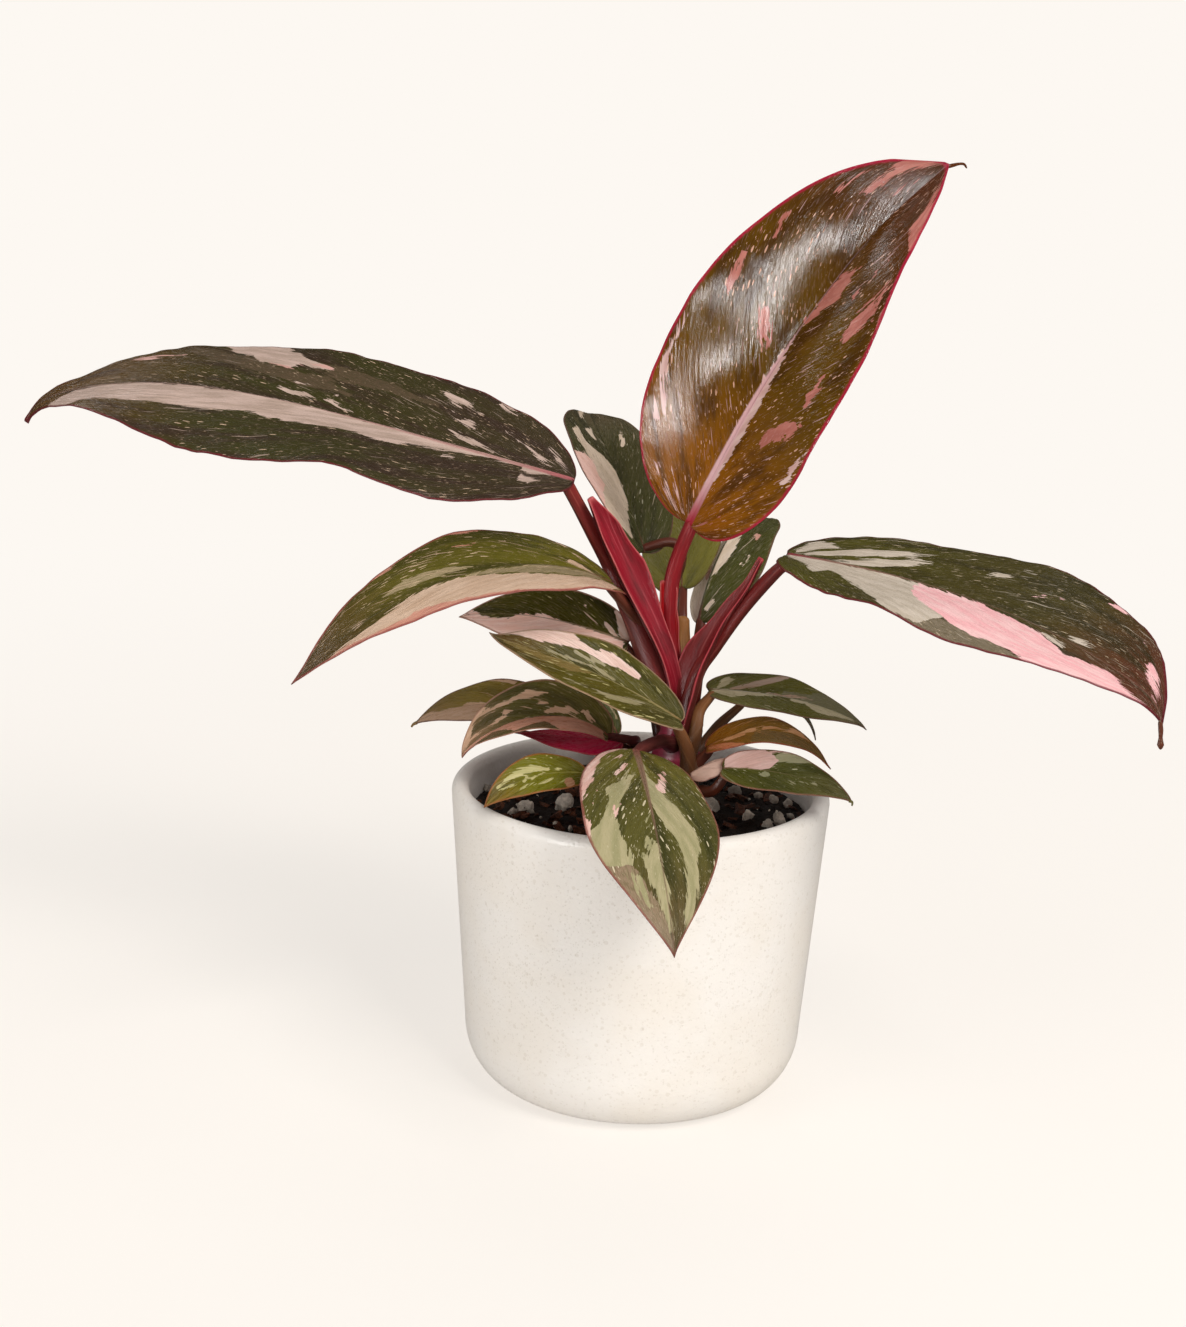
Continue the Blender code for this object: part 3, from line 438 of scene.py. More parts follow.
             (36, 0, 60), (42, 5, 70), (46, 12, 74), (48, 25, 76), (51, 50, 78), (58, 60, 80),
             (64, 56, 66)),
            ((57, 20, 30), (63, 20, 42), (70, 15, 22)),
            ((75, 40, 50), (85, 40, 70), (95, 60, 90)),
            ((54, -40, -30), (60, -50, -36), (67, -58, -50)),
        ),
        pink_patches=(
            ((17, 100, 110), (24, 75, 110), (28, 55, 110), (34, 60, 110), (40, 60, 110),
             (42, 75, 110)),
        ),
    ),
    "leaf_rear": Look(
        "olive_leaf", ground=((130, 124, 52), (120, 114, 48), (112, 102, 48)), shade=(98, 94, 38),
        fleck=(150, 150, 90), rib=(110, 106, 64), rib_foot=(120, 70, 50), margin=(104, 82, 52),
        under=(92, 84, 46), rib_width=(0.35, 0.12), margin_width=0.25,
    ),
    "leaf_rear_right": Look(
        "sage_leaf", ground=((82, 84, 38), (76, 76, 34), (90, 80, 46)), shade=(58, 58, 26),
        pale=((238, 216, 192), (248, 228, 208)), pink=((206, 150, 132), (216, 166, 148)),
        fleck=(170, 168, 130), rib=(96, 96, 62), rib_foot=(120, 60, 56), margin=(110, 80, 62),
        under=(100, 84, 60), rib_width=(0.35, 0.12), margin_width=0.25, flecks=0.4, dots=0.4,
        pale_patches=(
            ((0, 0, 110), (10, 0, 110), (20, 0, 110), (24, -10, 110), (30, -22, 110),
             (38, -30, 110), (46, -26, 110), (56, -10, 110), (66, 35, 110), (74, 70, 110)),
            ((28, -60, -54), (33, -66, -58)),
            ((6, -25, -12), (10, -35, -28)),
        ),
        pink_patches=(
            ((21, 6, 22), (26, 10, 30), (29, 16, 24)),
            ((42, -66, -58), (46, -70, -60)),
        ),
    ),
    "leaf_low_left": Look(
        "olive_leaf", ground=((86, 82, 20), (76, 72, 20), (86, 78, 28)), shade=(50, 48, 12),
        pale=((246, 212, 192), (255, 228, 214)), pink=((250, 202, 186), (255, 218, 206)),
        fleck=(190, 178, 130), rib=(150, 128, 96), rib_foot=(130, 84, 60), margin=(180, 130, 110),
        under=(120, 80, 60), rib_width=(0.35, 0.12), margin_width=0.35, flecks=0.4,
        pale_patches=(
            ((0, -45, -10), (3, -62, -2), (6, -72, -18), (10, -88, -50), (15, -110, -86)),
            ((8, -10, 0), (12, -32, -12), (16.5, -46, -36)),
            ((28, -70, -58), (31, -74, -60)),
        ),
        pink_patches=(
            ((3, 2, 110), (10, 3, 110), (20, 3, 110), (30, 0, 110), (40, -4, 110), (50, -9, 110),
             (60, -8, 110), (65, 0, 110), (70, 22, 110), (76, 30, 110), (82, 24, 110),
             (86, 5, 110), (90, -40, 110), (93, -110, 110), (100, -110, 110)),
        ),
    ),
    "leaf_striped_left": Look(
        "sage_leaf", ground=((86, 82, 40), (86, 80, 20), (98, 74, 30)), shade=(56, 54, 16),
        pale=((150, 140, 104), (168, 158, 128)), pink=((226, 192, 180), (238, 210, 200)),
        fleck=(196, 186, 130), rib=(150, 136, 90), rib_foot=(140, 112, 70), margin=(166, 136, 110),
        under=(120, 92, 60), rib_width=(0.45, 0.15), margin_width=0.35, flecks=0.5, dots=0.6,
        streaks=0.8, mid_tone=(132, 112, 66),
        mid=(
            ((48, 2, 8), (54, 2, 20), (60, 2, 38), (70, 2, 40), (82, 2, 42), (92, 0, 40)),
        ),
        pale_patches=(
            ((20, 18, 24), (25, 32, 46), (30, 38, 54), (35, 48, 64), (40, 58, 72), (50, 66, 74)),
            ((52, 70, 76), (57, 72, 79), (63, 76, 82)),
            ((17, 46, 52), (21, 56, 64)),
            ((36, -13, -7), (48, -18, -10), (62, -20, -13), (72, -19, -15)),
            ((44, -36, -30), (52, -40, -31), (60, -40, -35)),
            ((58, 48, 54), (62, 56, 60)),
        ),
        pink_patches=(
            ((26, -62, -48), (32, -66, -40), (40, -70, -40), (47, -68, -40), (50, -62, -44),
             (58, -78, -48), (62, -100, -48), (66, -110, -46), (75, -110, -46), (82, -110, -54),
             (88, -110, -74), (93, -110, -95)),
        ),
    ),
    "leaf_curled_left": Look(
        "pink_leaf", ground=((112, 104, 48), (98, 92, 42), (144, 110, 78)), shade=(74, 68, 34),
        pale=((208, 168, 138), (222, 184, 154)), pink=((224, 158, 132), (234, 174, 150)),
        fleck=(190, 170, 140), rib=(190, 150, 126), rib_foot=(160, 60, 60), margin=(176, 130, 108),
        under=(170, 70, 66), rib_width=(0.35, 0.12), margin_width=0.35, dots=0.5,
        mid_tone=(116, 92, 62),
        mid=(
            ((38, 50, 90), (44, 40, 95), (50, 48, 110), (58, 70, 110), (62, 86, 110)),
            ((66, 30, 60), (74, 20, 80), (80, 30, 70)),
        ),
        pale_patches=(
            ((13, -20, -10), (17, -44, -14), (19.5, -58, -36)),
            ((22, -22, -8), (28, -34, -16), (35, -28, -14), (42, -16, -8)),
            ((40, -41, -36), (50, -34, -29), (60, -36, -30), (63, -50, -28), (67, -31, -22),
             (75, -22, -17), (82, -28, -20), (87, -44, -30), (91, -60, -30)),
            ((40, -61, -55), (50, -74, -58), (60, -66, -56), (70, -76, -60), (75, -92, -70),
             (80, -110, -80), (86, -110, -74), (91, -110, -20), (97, -110, -20)),
        ),
        pink_patches=(
            ((5, 5, 110), (20, 2, 110), (30, 2, 110), (36, 2, 90), (42, 2, 42), (50, 2, 60),
             (60, 2, 84), (66, 2, 50), (74, 2, 24), (80, 2, 34), (90, 2, 110), (100, 0, 110)),
        ),
    ),
    "leaf_outer_left": Look(
        "olive_leaf", ground=((120, 106, 46), (128, 110, 48), (132, 104, 62)), shade=(94, 82, 36),
        pale=((186, 150, 122), (198, 164, 136)), pink=((166, 124, 106), (176, 138, 122)),
        fleck=(160, 140, 110), rib=(130, 108, 84), rib_foot=(120, 70, 60), margin=(112, 76, 62),
        under=(110, 72, 56), flecks=0.25, dots=0.2,
        pale_patches=(
            ((10, 10, 50), (30, 0, 80), (50, -6, 110), (60, -10, 110), (63, -10, 110),
             (66, 0, 110), (80, -2, 110), (86, -30, 110), (92, -60, 110), (100, -80, 110)),
            ((34, -110, -80), (42, -110, -86), (50, -110, -98)),
        ),
    ),
    "leaf_small_left": Look(
        "olive_leaf", ground=((84, 80, 20), (112, 110, 24), (136, 104, 34)), shade=(70, 68, 14),
        pale=((184, 178, 120), (200, 190, 136)), pink=((158, 112, 82), (176, 130, 100)),
        fleck=(190, 184, 120), rib=(150, 142, 70), rib_foot=(110, 92, 40), margin=(150, 92, 52),
        under=(130, 104, 50), margin_width=0.35, flecks=0.2,
        pale_patches=(
            ((33, 20, 32), (37, 26, 46), (42, 36, 54), (46, 47, 56)),
            ((48, 46, 50), (54, 34, 46), (58, 32, 48), (63, 36, 58), (68, 44, 55)),
            ((54, -20, -6), (57, -6, 12), (60, 6, 24)),
            ((38, -12, -5), (46, -7, 2), (52, 2, 12)),
            ((33, -26, -18), (40, -35, -20), (50, -50, -23), (60, -61, -26), (70, -60, -28),
             (75, -56, -30), (81, -70, -30)),
            ((67, -2, 10), (71, -14, 14), (78, -22, -6)),
            ((35, -63, -56), (42, -80, -70), (50, -95, -86), (55, -110, -97)),
            ((22, -24, -18), (27, -27, -20)),
            ((26, -78, -68), (31, -92, -84)),
        ),
        pink_patches=(
            ((19, 44, 75), (23, 30, 110), (27, 62, 110)),
        ),
    ),
    "leaf_hooked_left": Look(
        "amber_leaf", ground=((92, 58, 34), (110, 72, 42), (84, 54, 38)), shade=(64, 40, 26),
        pale=((150, 118, 96), (160, 130, 106)), fleck=(150, 120, 80), rib=(130, 84, 60),
        margin=(104, 58, 44), under=(100, 56, 44), rib_width=(0.25, 0.1), flecks=0.2, dots=0.2,
        pale_patches=(
            ((40, 20, 40), (60, 30, 70), (85, 50, 90)),
        ),
    ),
    "leaf_wine_left": Look(
        "wine_leaf", ground=((190, 26, 70), (192, 18, 72), (156, 30, 50)), shade=(146, 8, 46),
        fleck=(190, 100, 116), rib=(150, 30, 56), rib_foot=(140, 30, 50), margin=(176, 70, 76),
        under=(140, 10, 44), flecks=0.05, dots=0.5,
    ),
    "leaf_striped_small": Look(
        "sage_leaf", ground=((84, 88, 46), (84, 88, 46), (92, 84, 50)), shade=(60, 64, 32),
        pale=((176, 158, 120), (188, 168, 132)), fleck=(180, 168, 120), rib=(150, 120, 90),
        margin=(150, 110, 84), under=(110, 80, 60), rib_width=(0.25, 0.1), margin_width=0.25,
        flecks=0.1, dots=0.1,
        pale_patches=(
            ((15, 5, 20), (35, 8, 42), (70, 10, 40), (85, 5, 20)),
            ((20, -70, -50), (50, -80, -55), (70, -75, -60)),
        ),
    ),
    "leaf_upper_right": Look(
        "sage_leaf", ground=((118, 114, 62), (106, 102, 38), (134, 120, 88)), shade=(80, 78, 30),
        pale=((190, 178, 142), (208, 194, 160)), pink=((182, 150, 126), (192, 166, 148)),
        fleck=(186, 178, 144), rib=(184, 174, 152), rib_foot=(150, 110, 90), margin=(130, 96, 80),
        under=(112, 84, 66), flecks=0.25, mid_tone=(126, 120, 92),
        mid=(
            ((45, 0, 30), (60, 0, 44), (68, 0, 90), (80, 0, 110), (95, 0, 110)),
        ),
        pale_patches=(
            ((3, -30, 10), (8, -42, 10), (14, -50, 6), (18, -42, 4), (22, -26, 3), (34, -12, 3),
             (40, -6, 2)),
            ((6, 28, 36), (10, 32, 70), (14, 52, 76), (17, 60, 70)),
            ((50, -12, 2), (58, -16, 2), (64, -50, 0), (70, -60, 0), (80, -55, 0), (90, -40, 0)),
            ((25, -36, -27), (28, -58, -46), (32, -80, -70), (38, -88, -80), (43, -86, -80)),
        ),
        pink_patches=(
            ((13, 12, 17), (20, 18, 35), (30, 34, 65), (40, 60, 88), (48, 88, 110)),
            ((28, 6, 13), (36, 3, 10), (48, 4, 14), (56, 14, 23), (63, 17, 24)),
        ),
    ),
    "leaf_amber_right": Look(
        "amber_leaf", ground=((140, 88, 22), (126, 90, 26), (112, 84, 44)), shade=(92, 62, 14),
        pale=((186, 130, 86), (198, 146, 102)), pink=((180, 104, 66), (190, 120, 80)),
        fleck=(200, 150, 90), rib=(170, 118, 72), rib_foot=(150, 70, 50), margin=(150, 78, 56),
        under=(130, 70, 44), margin_width=0.35, mid_tone=(112, 88, 48),
        mid=(
            ((36, -110, -2), (42, -110, 18), (55, -110, 24), (66, -110, 34), (80, -110, 40),
             (92, -110, 40)),
        ),
        pale_patches=(
            ((14, -16, -5), (20, -30, 3), (26, -26, 12), (32, -2, 20), (37, 12, 28)),
            ((42, 18, 33), (50, 26, 38), (58, 30, 38), (62, 36, 70), (70, 44, 78), (76, 54, 70)),
        ),
        pink_patches=(
            ((2, -50, -5), (8, -70, -20), (15, -90, -35), (22, -110, -60), (30, -110, -90)),
        ),
    ),
    "leaf_small_right": Look(
        "olive_leaf", ground=((78, 78, 22), (80, 80, 34), (106, 100, 58)), shade=(56, 58, 18),
        pale=((140, 138, 106), (156, 150, 118)), pink=((202, 162, 152), (212, 176, 168)),
        fleck=(190, 184, 150), rib=(120, 108, 72), rib_foot=(120, 84, 60), margin=(132, 88, 72),
        under=(110, 76, 60), dots=0.4,
        pale_patches=(
            ((35, 42, 55), (38, 40, 84), (46, 50, 110), (56, 70, 110), (62, 90, 110)),
            ((28, -30, -20), (31, -34, -1), (34, -30, 0), (35.5, -20, -10)),
            ((46, -43, -37), (52, -50, -34), (56, -56, -48)),
            ((50, -39, -33), (60, -28, -20), (71, -15, -7)),
        ),
        pink_patches=(
            ((2, 2, 50), (5, 2, 110), (20, 3, 110), (28, 5, 100), (34, 12, 78), (38, 42, 58)),
            ((33, 82, 92), (38, 88, 98), (46, 96, 110)),
        ),
    ),
    "leaf_cupped_right": Look(
        "pink_leaf", ground=((196, 160, 142), (206, 172, 156), (180, 136, 118)),
        shade=(174, 134, 118), fleck=(210, 184, 166), rib=(150, 108, 92), rib_foot=(140, 90, 76),
        margin=(134, 88, 76), under=(150, 108, 92), rib_width=(0.2, 0.08), margin_width=0.2,
        flecks=0.1, dots=0.1,
    ),
    "leaf_back_right": Look(
        "sage_leaf", ground=((84, 86, 50), (80, 82, 52), (90, 84, 60)), shade=(60, 62, 38),
        fleck=(150, 146, 110), rib=(110, 104, 72), margin=(110, 84, 64), under=(100, 76, 56),
        rib_width=(0.25, 0.1), margin_width=0.25,
        pale_patches=(
            ((20, 10, 20), (40, 20, 50), (60, 50, 80)),
        ),
    ),
}


@dataclass(frozen=True)
class Stalk:
    """A stalk along points in millimetres, as in the part's source, with its finish.

    facing is the way that its flatter, brighter side looks.
    """

    leaf: str
    points: tuple
    radii: tuple
    finish: str = "brown_stalk"
    facing: tuple = (0, 0, 1)


@dataclass(frozen=True)
class Sheath:
    """A winged channel at a stalk's foot, as in the part's source, with its finish."""

    points: tuple
    half_widths: tuple
    opening: tuple
    finish: str = "crimson_sheath"
    bend: float = 75


@dataclass(frozen=True)
class Shoot:
    """A stem with its stalks and sheaths, as in the part's source."""

    name: str
    slot: str
    foot: tuple
    foot_radius: float
    crown_height: float
    crown_radius: float
    stalks: tuple
    sheaths: tuple = ()


SHOOTS = (
    Shoot(
        "shoot_main", "crimson_stem", foot=(7, 1), foot_radius=4.6, crown_height=80,
        crown_radius=5,
        stalks=(
            Stalk("leaf_long_left",
                  ((7, 1.6, 72), (3.6, 3.4, 84.5), (-1.8, 4.2, 96.3), (-7.2, 4, 107.2),
                   (-12.6, 3.5, 117)),
                  (3.2, 3.5, 2.6, 1.8, 1.5, 1.4), "wine_stalk", (0.75, -0.65, 0.2)),
            Stalk("leaf_top_bronze", ((7, 4, 72), (6, 5.4, 86), (4.5, 5.6, 97), (5, 4.4, 108)),
                  (2.4, 2, 1.7, 1.6, 1.4), "crimson_stalk", (0.3, -0.9, 0)),
            Stalk("leaf_long_right",
                  ((8, 1, 72), (10.1, 1.5, 86.2), (14, 1.5, 93.2), (19.7, 1, 102.2),
                   (25, 0.5, 109)),
                  (2.7, 1.7, 1.45, 1.5, 1.4, 1.15), "wine_stalk", (-0.7, -0.5, 0.6)),
            Stalk("leaf_mid_left", ((7, 4, 74), (4.6, 5.4, 88.5), (-1.6, 3, 97.5)),
                  (1.8, 1.5, 1.3, 1),
                  "brown_stalk", (0.3, -0.5, 1)),
            Stalk("leaf_rear_left", ((6, 6, 72), (5.2, 11, 88), (4.2, 15, 99), (6.6, 17, 108),
                                     (4.4, 17, 111.4)),
                  (1.8, 1.5, 1.3, 1.2, 1.1, 0.9)),
            Stalk("leaf_rear", ((8, 6, 72), (7.6, 12, 84), (7.3, 17.5, 95)), (1.6, 1.4, 1.1, 0.9)),
            Stalk("leaf_rear_right", ((9, 5, 72), (10.5, 10, 83), (11, 14, 90)),
                  (1.8, 1.5, 1.3, 1)),
            Stalk("leaf_low_left", ((4, 3, 72), (1, 5, 84)), (1.6, 1.3, 0.9)),
            Stalk("leaf_upper_right", ((9, -3, 70), (10.5, -4, 76), (11.3, -2.5, 80.5)),
                  (2, 1.6, 1.3, 0.9), "tan_stalk"),
            Stalk("leaf_back_right", ((8, 2, 66), (12.5, 5, 71), (16, 9.5, 74.5)),
                  (1.6, 1.3, 1.1, 0.8), "tan_stalk"),
            Stalk("leaf_front", ((7, 0, 72), (4, -8, 75.5), (0.5, -16, 76.5)), (2, 1.5, 1.3, 1),
                  "dusty_stalk"),
            Stalk("", ((8, 6, 72), (7.6, 12, 84), (7.4, 15, 90), (7.3, 16.5, 95.8)),
                  (2, 1.9, 1.8, 1.6), "dry_stub", (0, -1, 0)),
        ),
        sheaths=(
            Sheath(((-12.6, 0.5, 123), (-9.5, 2.5, 116), (-5.5, 2.6, 108), (0, 1.8, 98),
                    (4.2, 1.2, 89), (6.4, 1.2, 80), (7, 1.2, 73)),
                   (0.7, 2.8, 3.9, 2.9, 1.9, 2, 2.4), opening=(0.75, -0.65, 0.2)),
            Sheath(((3.6, 4.6, 106), (4, 5.2, 98), (5, 5.4, 88), (7, 4.4, 76)),
                   (1.7, 1.9, 2, 2.4), opening=(0.3, -0.9, 0), finish="scarlet_sheath"),
            Sheath(((22.6, 0.5, 112), (20, 1, 106), (15.5, 1.2, 98.5), (12, 0.6, 91),
                    (9.3, -0.4, 82),
                    (8, -0.4, 73)),
                   (0.6, 1.1, 2, 3.6, 4.8, 4.8), opening=(-0.7, -0.5, 0.6), finish="wine_sheath"),
        ),
    ),
    Shoot(
        "shoot_left", "rust_stem", foot=(-3, 7), foot_radius=2.6, crown_height=70,
        crown_radius=2.4,
        stalks=(
            Stalk("leaf_curled_left", ((-3, 7, 66), (-1.5, 2, 72), (-2.6, -3, 74)),
                  (1.6, 1.2, 1, 0.8), "dusty_stalk"),
            Stalk("leaf_outer_left", ((-3, 8, 66), (-7, 9.5, 70.5), (-12, 10, 73)),
                  (1.5, 1.2, 1, 0.8)),
            Stalk("leaf_hooked_left", ((-3, 8, 62), (-5, 11, 63.5)), (1.3, 1, 0.7)),
            Stalk("leaf_wine_left", ((-3, 6, 66), (-2.5, 1, 70)), (1.5, 1.1, 0.8)),
            Stalk("leaf_striped_small", ((-3, 7, 66), (-4.5, 6.3, 69)), (1.5, 1.1, 0.8),
                  "dusty_stalk"),
        ),
    ),
    Shoot(
        "shoot_right", "rust_stem", foot=(9.5, -8), foot_radius=2.8, crown_height=68,
        crown_radius=2.8,
        stalks=(
            Stalk("leaf_striped_left", ((9.5, -8, 64), (9.6, -9.5, 70), (8.6, -12, 76)),
                  (2.2, 1.9, 1.4, 1), "tan_stalk"),
            Stalk("leaf_amber_right", ((9.5, -8, 64), (10.5, -8, 70)), (2, 1.5, 0.9),
                  "rust_stalk"),
            Stalk("leaf_small_right", ((9.5, -9, 62), (11.5, -12.5, 66.4), (14.5, -17, 68.4)),
                  (1.8, 1.4, 1.2, 0.9), "rust_stalk"),
            Stalk("leaf_cupped_right", ((9.5, -9, 62), (9.5, -11.5, 67)), (1.8, 1.3, 0.9),
                  "rust_stalk"),
        ),
    ),
    Shoot(
        "shoot_front_left", "rust_stem", foot=(-7, -12), foot_radius=1.8, crown_height=64,
        crown_radius=1.6,
        stalks=(Stalk("leaf_small_left", ((-7, -12, 62), (-7.5, -15, 67)), (1.4, 1.1, 0.8)),),
    ),
)

# Finish of a stalk or sheath: back, face, streak and edge tones
STALK_FINISHES = {
    "wine_stalk": ((98, 32, 26), (130, 40, 38), (158, 80, 68), (156, 60, 56)),
    "crimson_stalk": ((112, 16, 20), (144, 22, 32), (184, 74, 76), (184, 84, 84)),
    "brown_stalk": ((84, 42, 28), (110, 54, 40), (140, 84, 64), (120, 70, 54)),
    "dusty_stalk": ((112, 50, 46), (140, 70, 64), (166, 100, 90), (150, 90, 80)),
    "tan_stalk": ((136, 86, 50), (162, 108, 66), (184, 136, 92), (164, 110, 72)),
    "rust_stalk": ((128, 62, 40), (150, 78, 50), (176, 110, 80), (160, 84, 60)),
    "dry_stub": ((140, 92, 50), (176, 120, 68), (196, 150, 96), (120, 72, 44)),
    "crimson_sheath": ((84, 16, 20), (146, 26, 42), (190, 78, 88), (192, 90, 92)),
    "scarlet_sheath": ((128, 16, 18), (164, 14, 22), (190, 66, 66), (176, 84, 80)),
    "wine_sheath": ((90, 26, 24), (124, 34, 36), (174, 90, 86), (184, 66, 74)),
    "rust_stem": ((88, 44, 28), (112, 60, 40), (140, 90, 64), (120, 70, 50)),
    "crimson_stem": ((70, 26, 22), (96, 32, 30), (130, 66, 56), (110, 50, 44)),
}

# Pot
LIP_RISE = 2.2
WAIST_HEIGHT = 12.5
WAIST_RADIUS = 35.3
CORNER_REACH = 10
INNER_CORNER = 8
TURN_STEPS = 160
PERLITE_BITS = 60
FOOT_PROFILE = ((24.6, 0), (22.8, 0), (22.2, 0.25), (21.6, 0.7), (20.6, 0.8), (8, 0.8), (0, 0.8))

# Soil
CLEARANCE = 0.3
SOIL_GRID = 110
PEBBLES = (
    (22.2, -2.7, 1.3, 1.25), (28.8, -4, 1.75, 0.85), (26.2, -6.7, 1.2, 0.7),
    (28.1, 10.1, 1.15, 0.6), (31, 8.2, 1.2, 0.55), (25, 12.4, 1, 0.6), (31.2, 0, 0.9, 0.45),
    (20, 13.2, 1.5, 0.3), (-23.4, -4.3, 1.9, 0.7), (-15.5, -1.2, 2.3, 0.75),
    (-26, -6.6, 1.2, 0.6), (-32.4, 10.9, 1, 0.4), (-16.9, -12.6, 0.8, 0.9),
    (-13.9, -14.8, 0.7, 0.9),
)
FLAKE = (14.2, 1.5, 2.9, 0.62)

# Camera, in metres and degrees
CAMERA_PLACE = (0, -0.4734, 0.2121)
CAMERA_YAW = -1.30
CAMERA_PITCH = 14.58
CAMERA_ROLL = 1.94
CAMERA_LENS = 65
CAMERA_SENSOR = 36

# Floor, in metres: it runs from front to back, sweeps up and goes on as a wall
FLOOR_FRONT = -2
FLOOR_LENGTH = 5.5
FLOOR_HALF_WIDTH = 4
SWEEP_START = 1.6
SWEEP_REACH = 1.2
SWEEP_RISE = 0.9
WALL_START = 2.8
WALL_SLOPE = 2.5

# Lights: colours, and the small cards that gleam on one leaf each, as name, place, aim, size and
# power
WARM = (255, 251, 245)
WHITE = (255, 254, 252)
CARDS = (
    ("low", (-0.1003, -0.1391, 0.0553), (0.0141, -0.0065, 0.1517), 0.024, 0.052),
    ("side", (-0.1054, -0.1269, 0.0795), (0.0324, -0.0203, 0.1777), 0.03, 0.09),
    ("rear", (-0.214, 0.111, 0.245), (0.0416, -0.0298, 0.1761), 0.03, 0.04),
    ("left", (-0.385, 0.628, 0.701), (-0.0917, -0.0065, 0.1344), 0.08, 0.08),
    ("right", (0.217, 0.652, 0.685), (0.081, -0.03, 0.113), 0.08, 0.06),
)


def tone(rgb):
    """An 8-bit screen colour as linear RGBA."""
    shares = (value / 255 for value in rgb)
    return (*(c / 12.92 if c <= 0.04045 else ((c + 0.055) / 1.055) ** 2.4 for c in shares), 1)


def opaque(rgb, scale=1):
    """A linear colour as RGBA, brightened or dimmed by scale."""
    return (*(min(c * scale, 1) for c in rgb[:3]), 1)


def colour_property(name, description, rgb):
    return FloatVectorProperty(
        name=name, description=description, default=tone(rgb)[:3], min=0, max=1, size=3,
        subtype="COLOR",
    )


def length_property(name, description, millimetres):
    return FloatProperty(
        name=name, description=description, default=millimetres * MM, min=0, max=500 * MM,
        unit="LENGTH", subtype="DISTANCE",
    )


def power_property(name, description, default):
    return FloatProperty(name=name, description=description, default=default, min=0)


def roughness_property(description, default):
    return FloatProperty(
        name="Roughness", description=description, default=default, min=0, max=1, subtype="FACTOR",
    )


class PotSettings(bpy.types.PropertyGroup):
    height: length_property("Height", "Height of the pot's rim above its underside", 64)
    rim_radius: length_property("Rim radius", "Outer radius just under the lip", 39)
    wall: length_property("Wall", "Thickness of the pot's wall", 3.6)
    floor: length_property("Floor", "Thickness of the pot's floor", 4)
    glaze: colour_property("Glaze", "Colour of the satin glaze", (243, 239, 234))
    speckle: colour_property("Speckle", "Colour of the fine grains in the glaze", (186, 172, 150))
    # Painted shade: the colour that darkens the inner wall just above the soil.
    stain: colour_property("Shading", "Colour of the damp inner wall just above the soil",
                           (58, 44, 34))


class SoilSettings(bpy.types.PropertyGroup):
    edge_height: length_property("Edge height", "Height of the soil where it meets the pot", 57.4)
    mound: length_property("Mound", "Rise of the soil from its edge to its middle", 0.9)
    chips: IntProperty(name="Bark chips", description="Number of bark chips", default=240, min=0)
    crumbs: IntProperty(name="Crumbs", description="Number of small soil crumbs", default=520,
                        min=0)
    earth: colour_property("Earth", "Colour of the damp soil", (27, 18, 12))
    bark: colour_property("Bark", "Colour of the bark chips", (92, 50, 26))
    perlite: colour_property("Perlite", "Colour of the perlite grains", (242, 230, 214))


class LeafSettings(bpy.types.PropertyGroup):
    thickness: length_property("Rib thickness", "Thickness of a blade along its midrib", 1.3)
    pleat: length_property("Pleats", "Depth of the shallow pleats along the side veins", 0.07)
    jag: length_property("Torn edges", "How far a patch's edge strays along the veins", 0.9)
    roughness: roughness_property("Roughness of the waxy upper side", 0.3)


class ShootSettings(bpy.types.PropertyGroup):
    sheath_thickness: length_property("Sheath thickness", "Thickness of a sheath's wall", 0.7)
    roughness: roughness_property("Roughness of stalks and sheaths", 0.36)


class StageSettings(bpy.types.PropertyGroup):
    floor: colour_property("Floor", "Colour of the floor", (253, 248, 242))
    backdrop: colour_property("Backdrop", "Colour that the camera sees behind the plant",
                              (253, 249, 244))
    key: power_property("Key light", "Power of the large soft light in watts", 12.5)
    fill: power_property("Fill light", "Power of the fill light in watts", 3.4)
    cards: power_property("Cards", "Power of the small cards that only gleam", 1)
    ambient: power_property("Ambient", "Strength of the light from all around", 0.5)


# ---------------------------------------------------------------- node trees


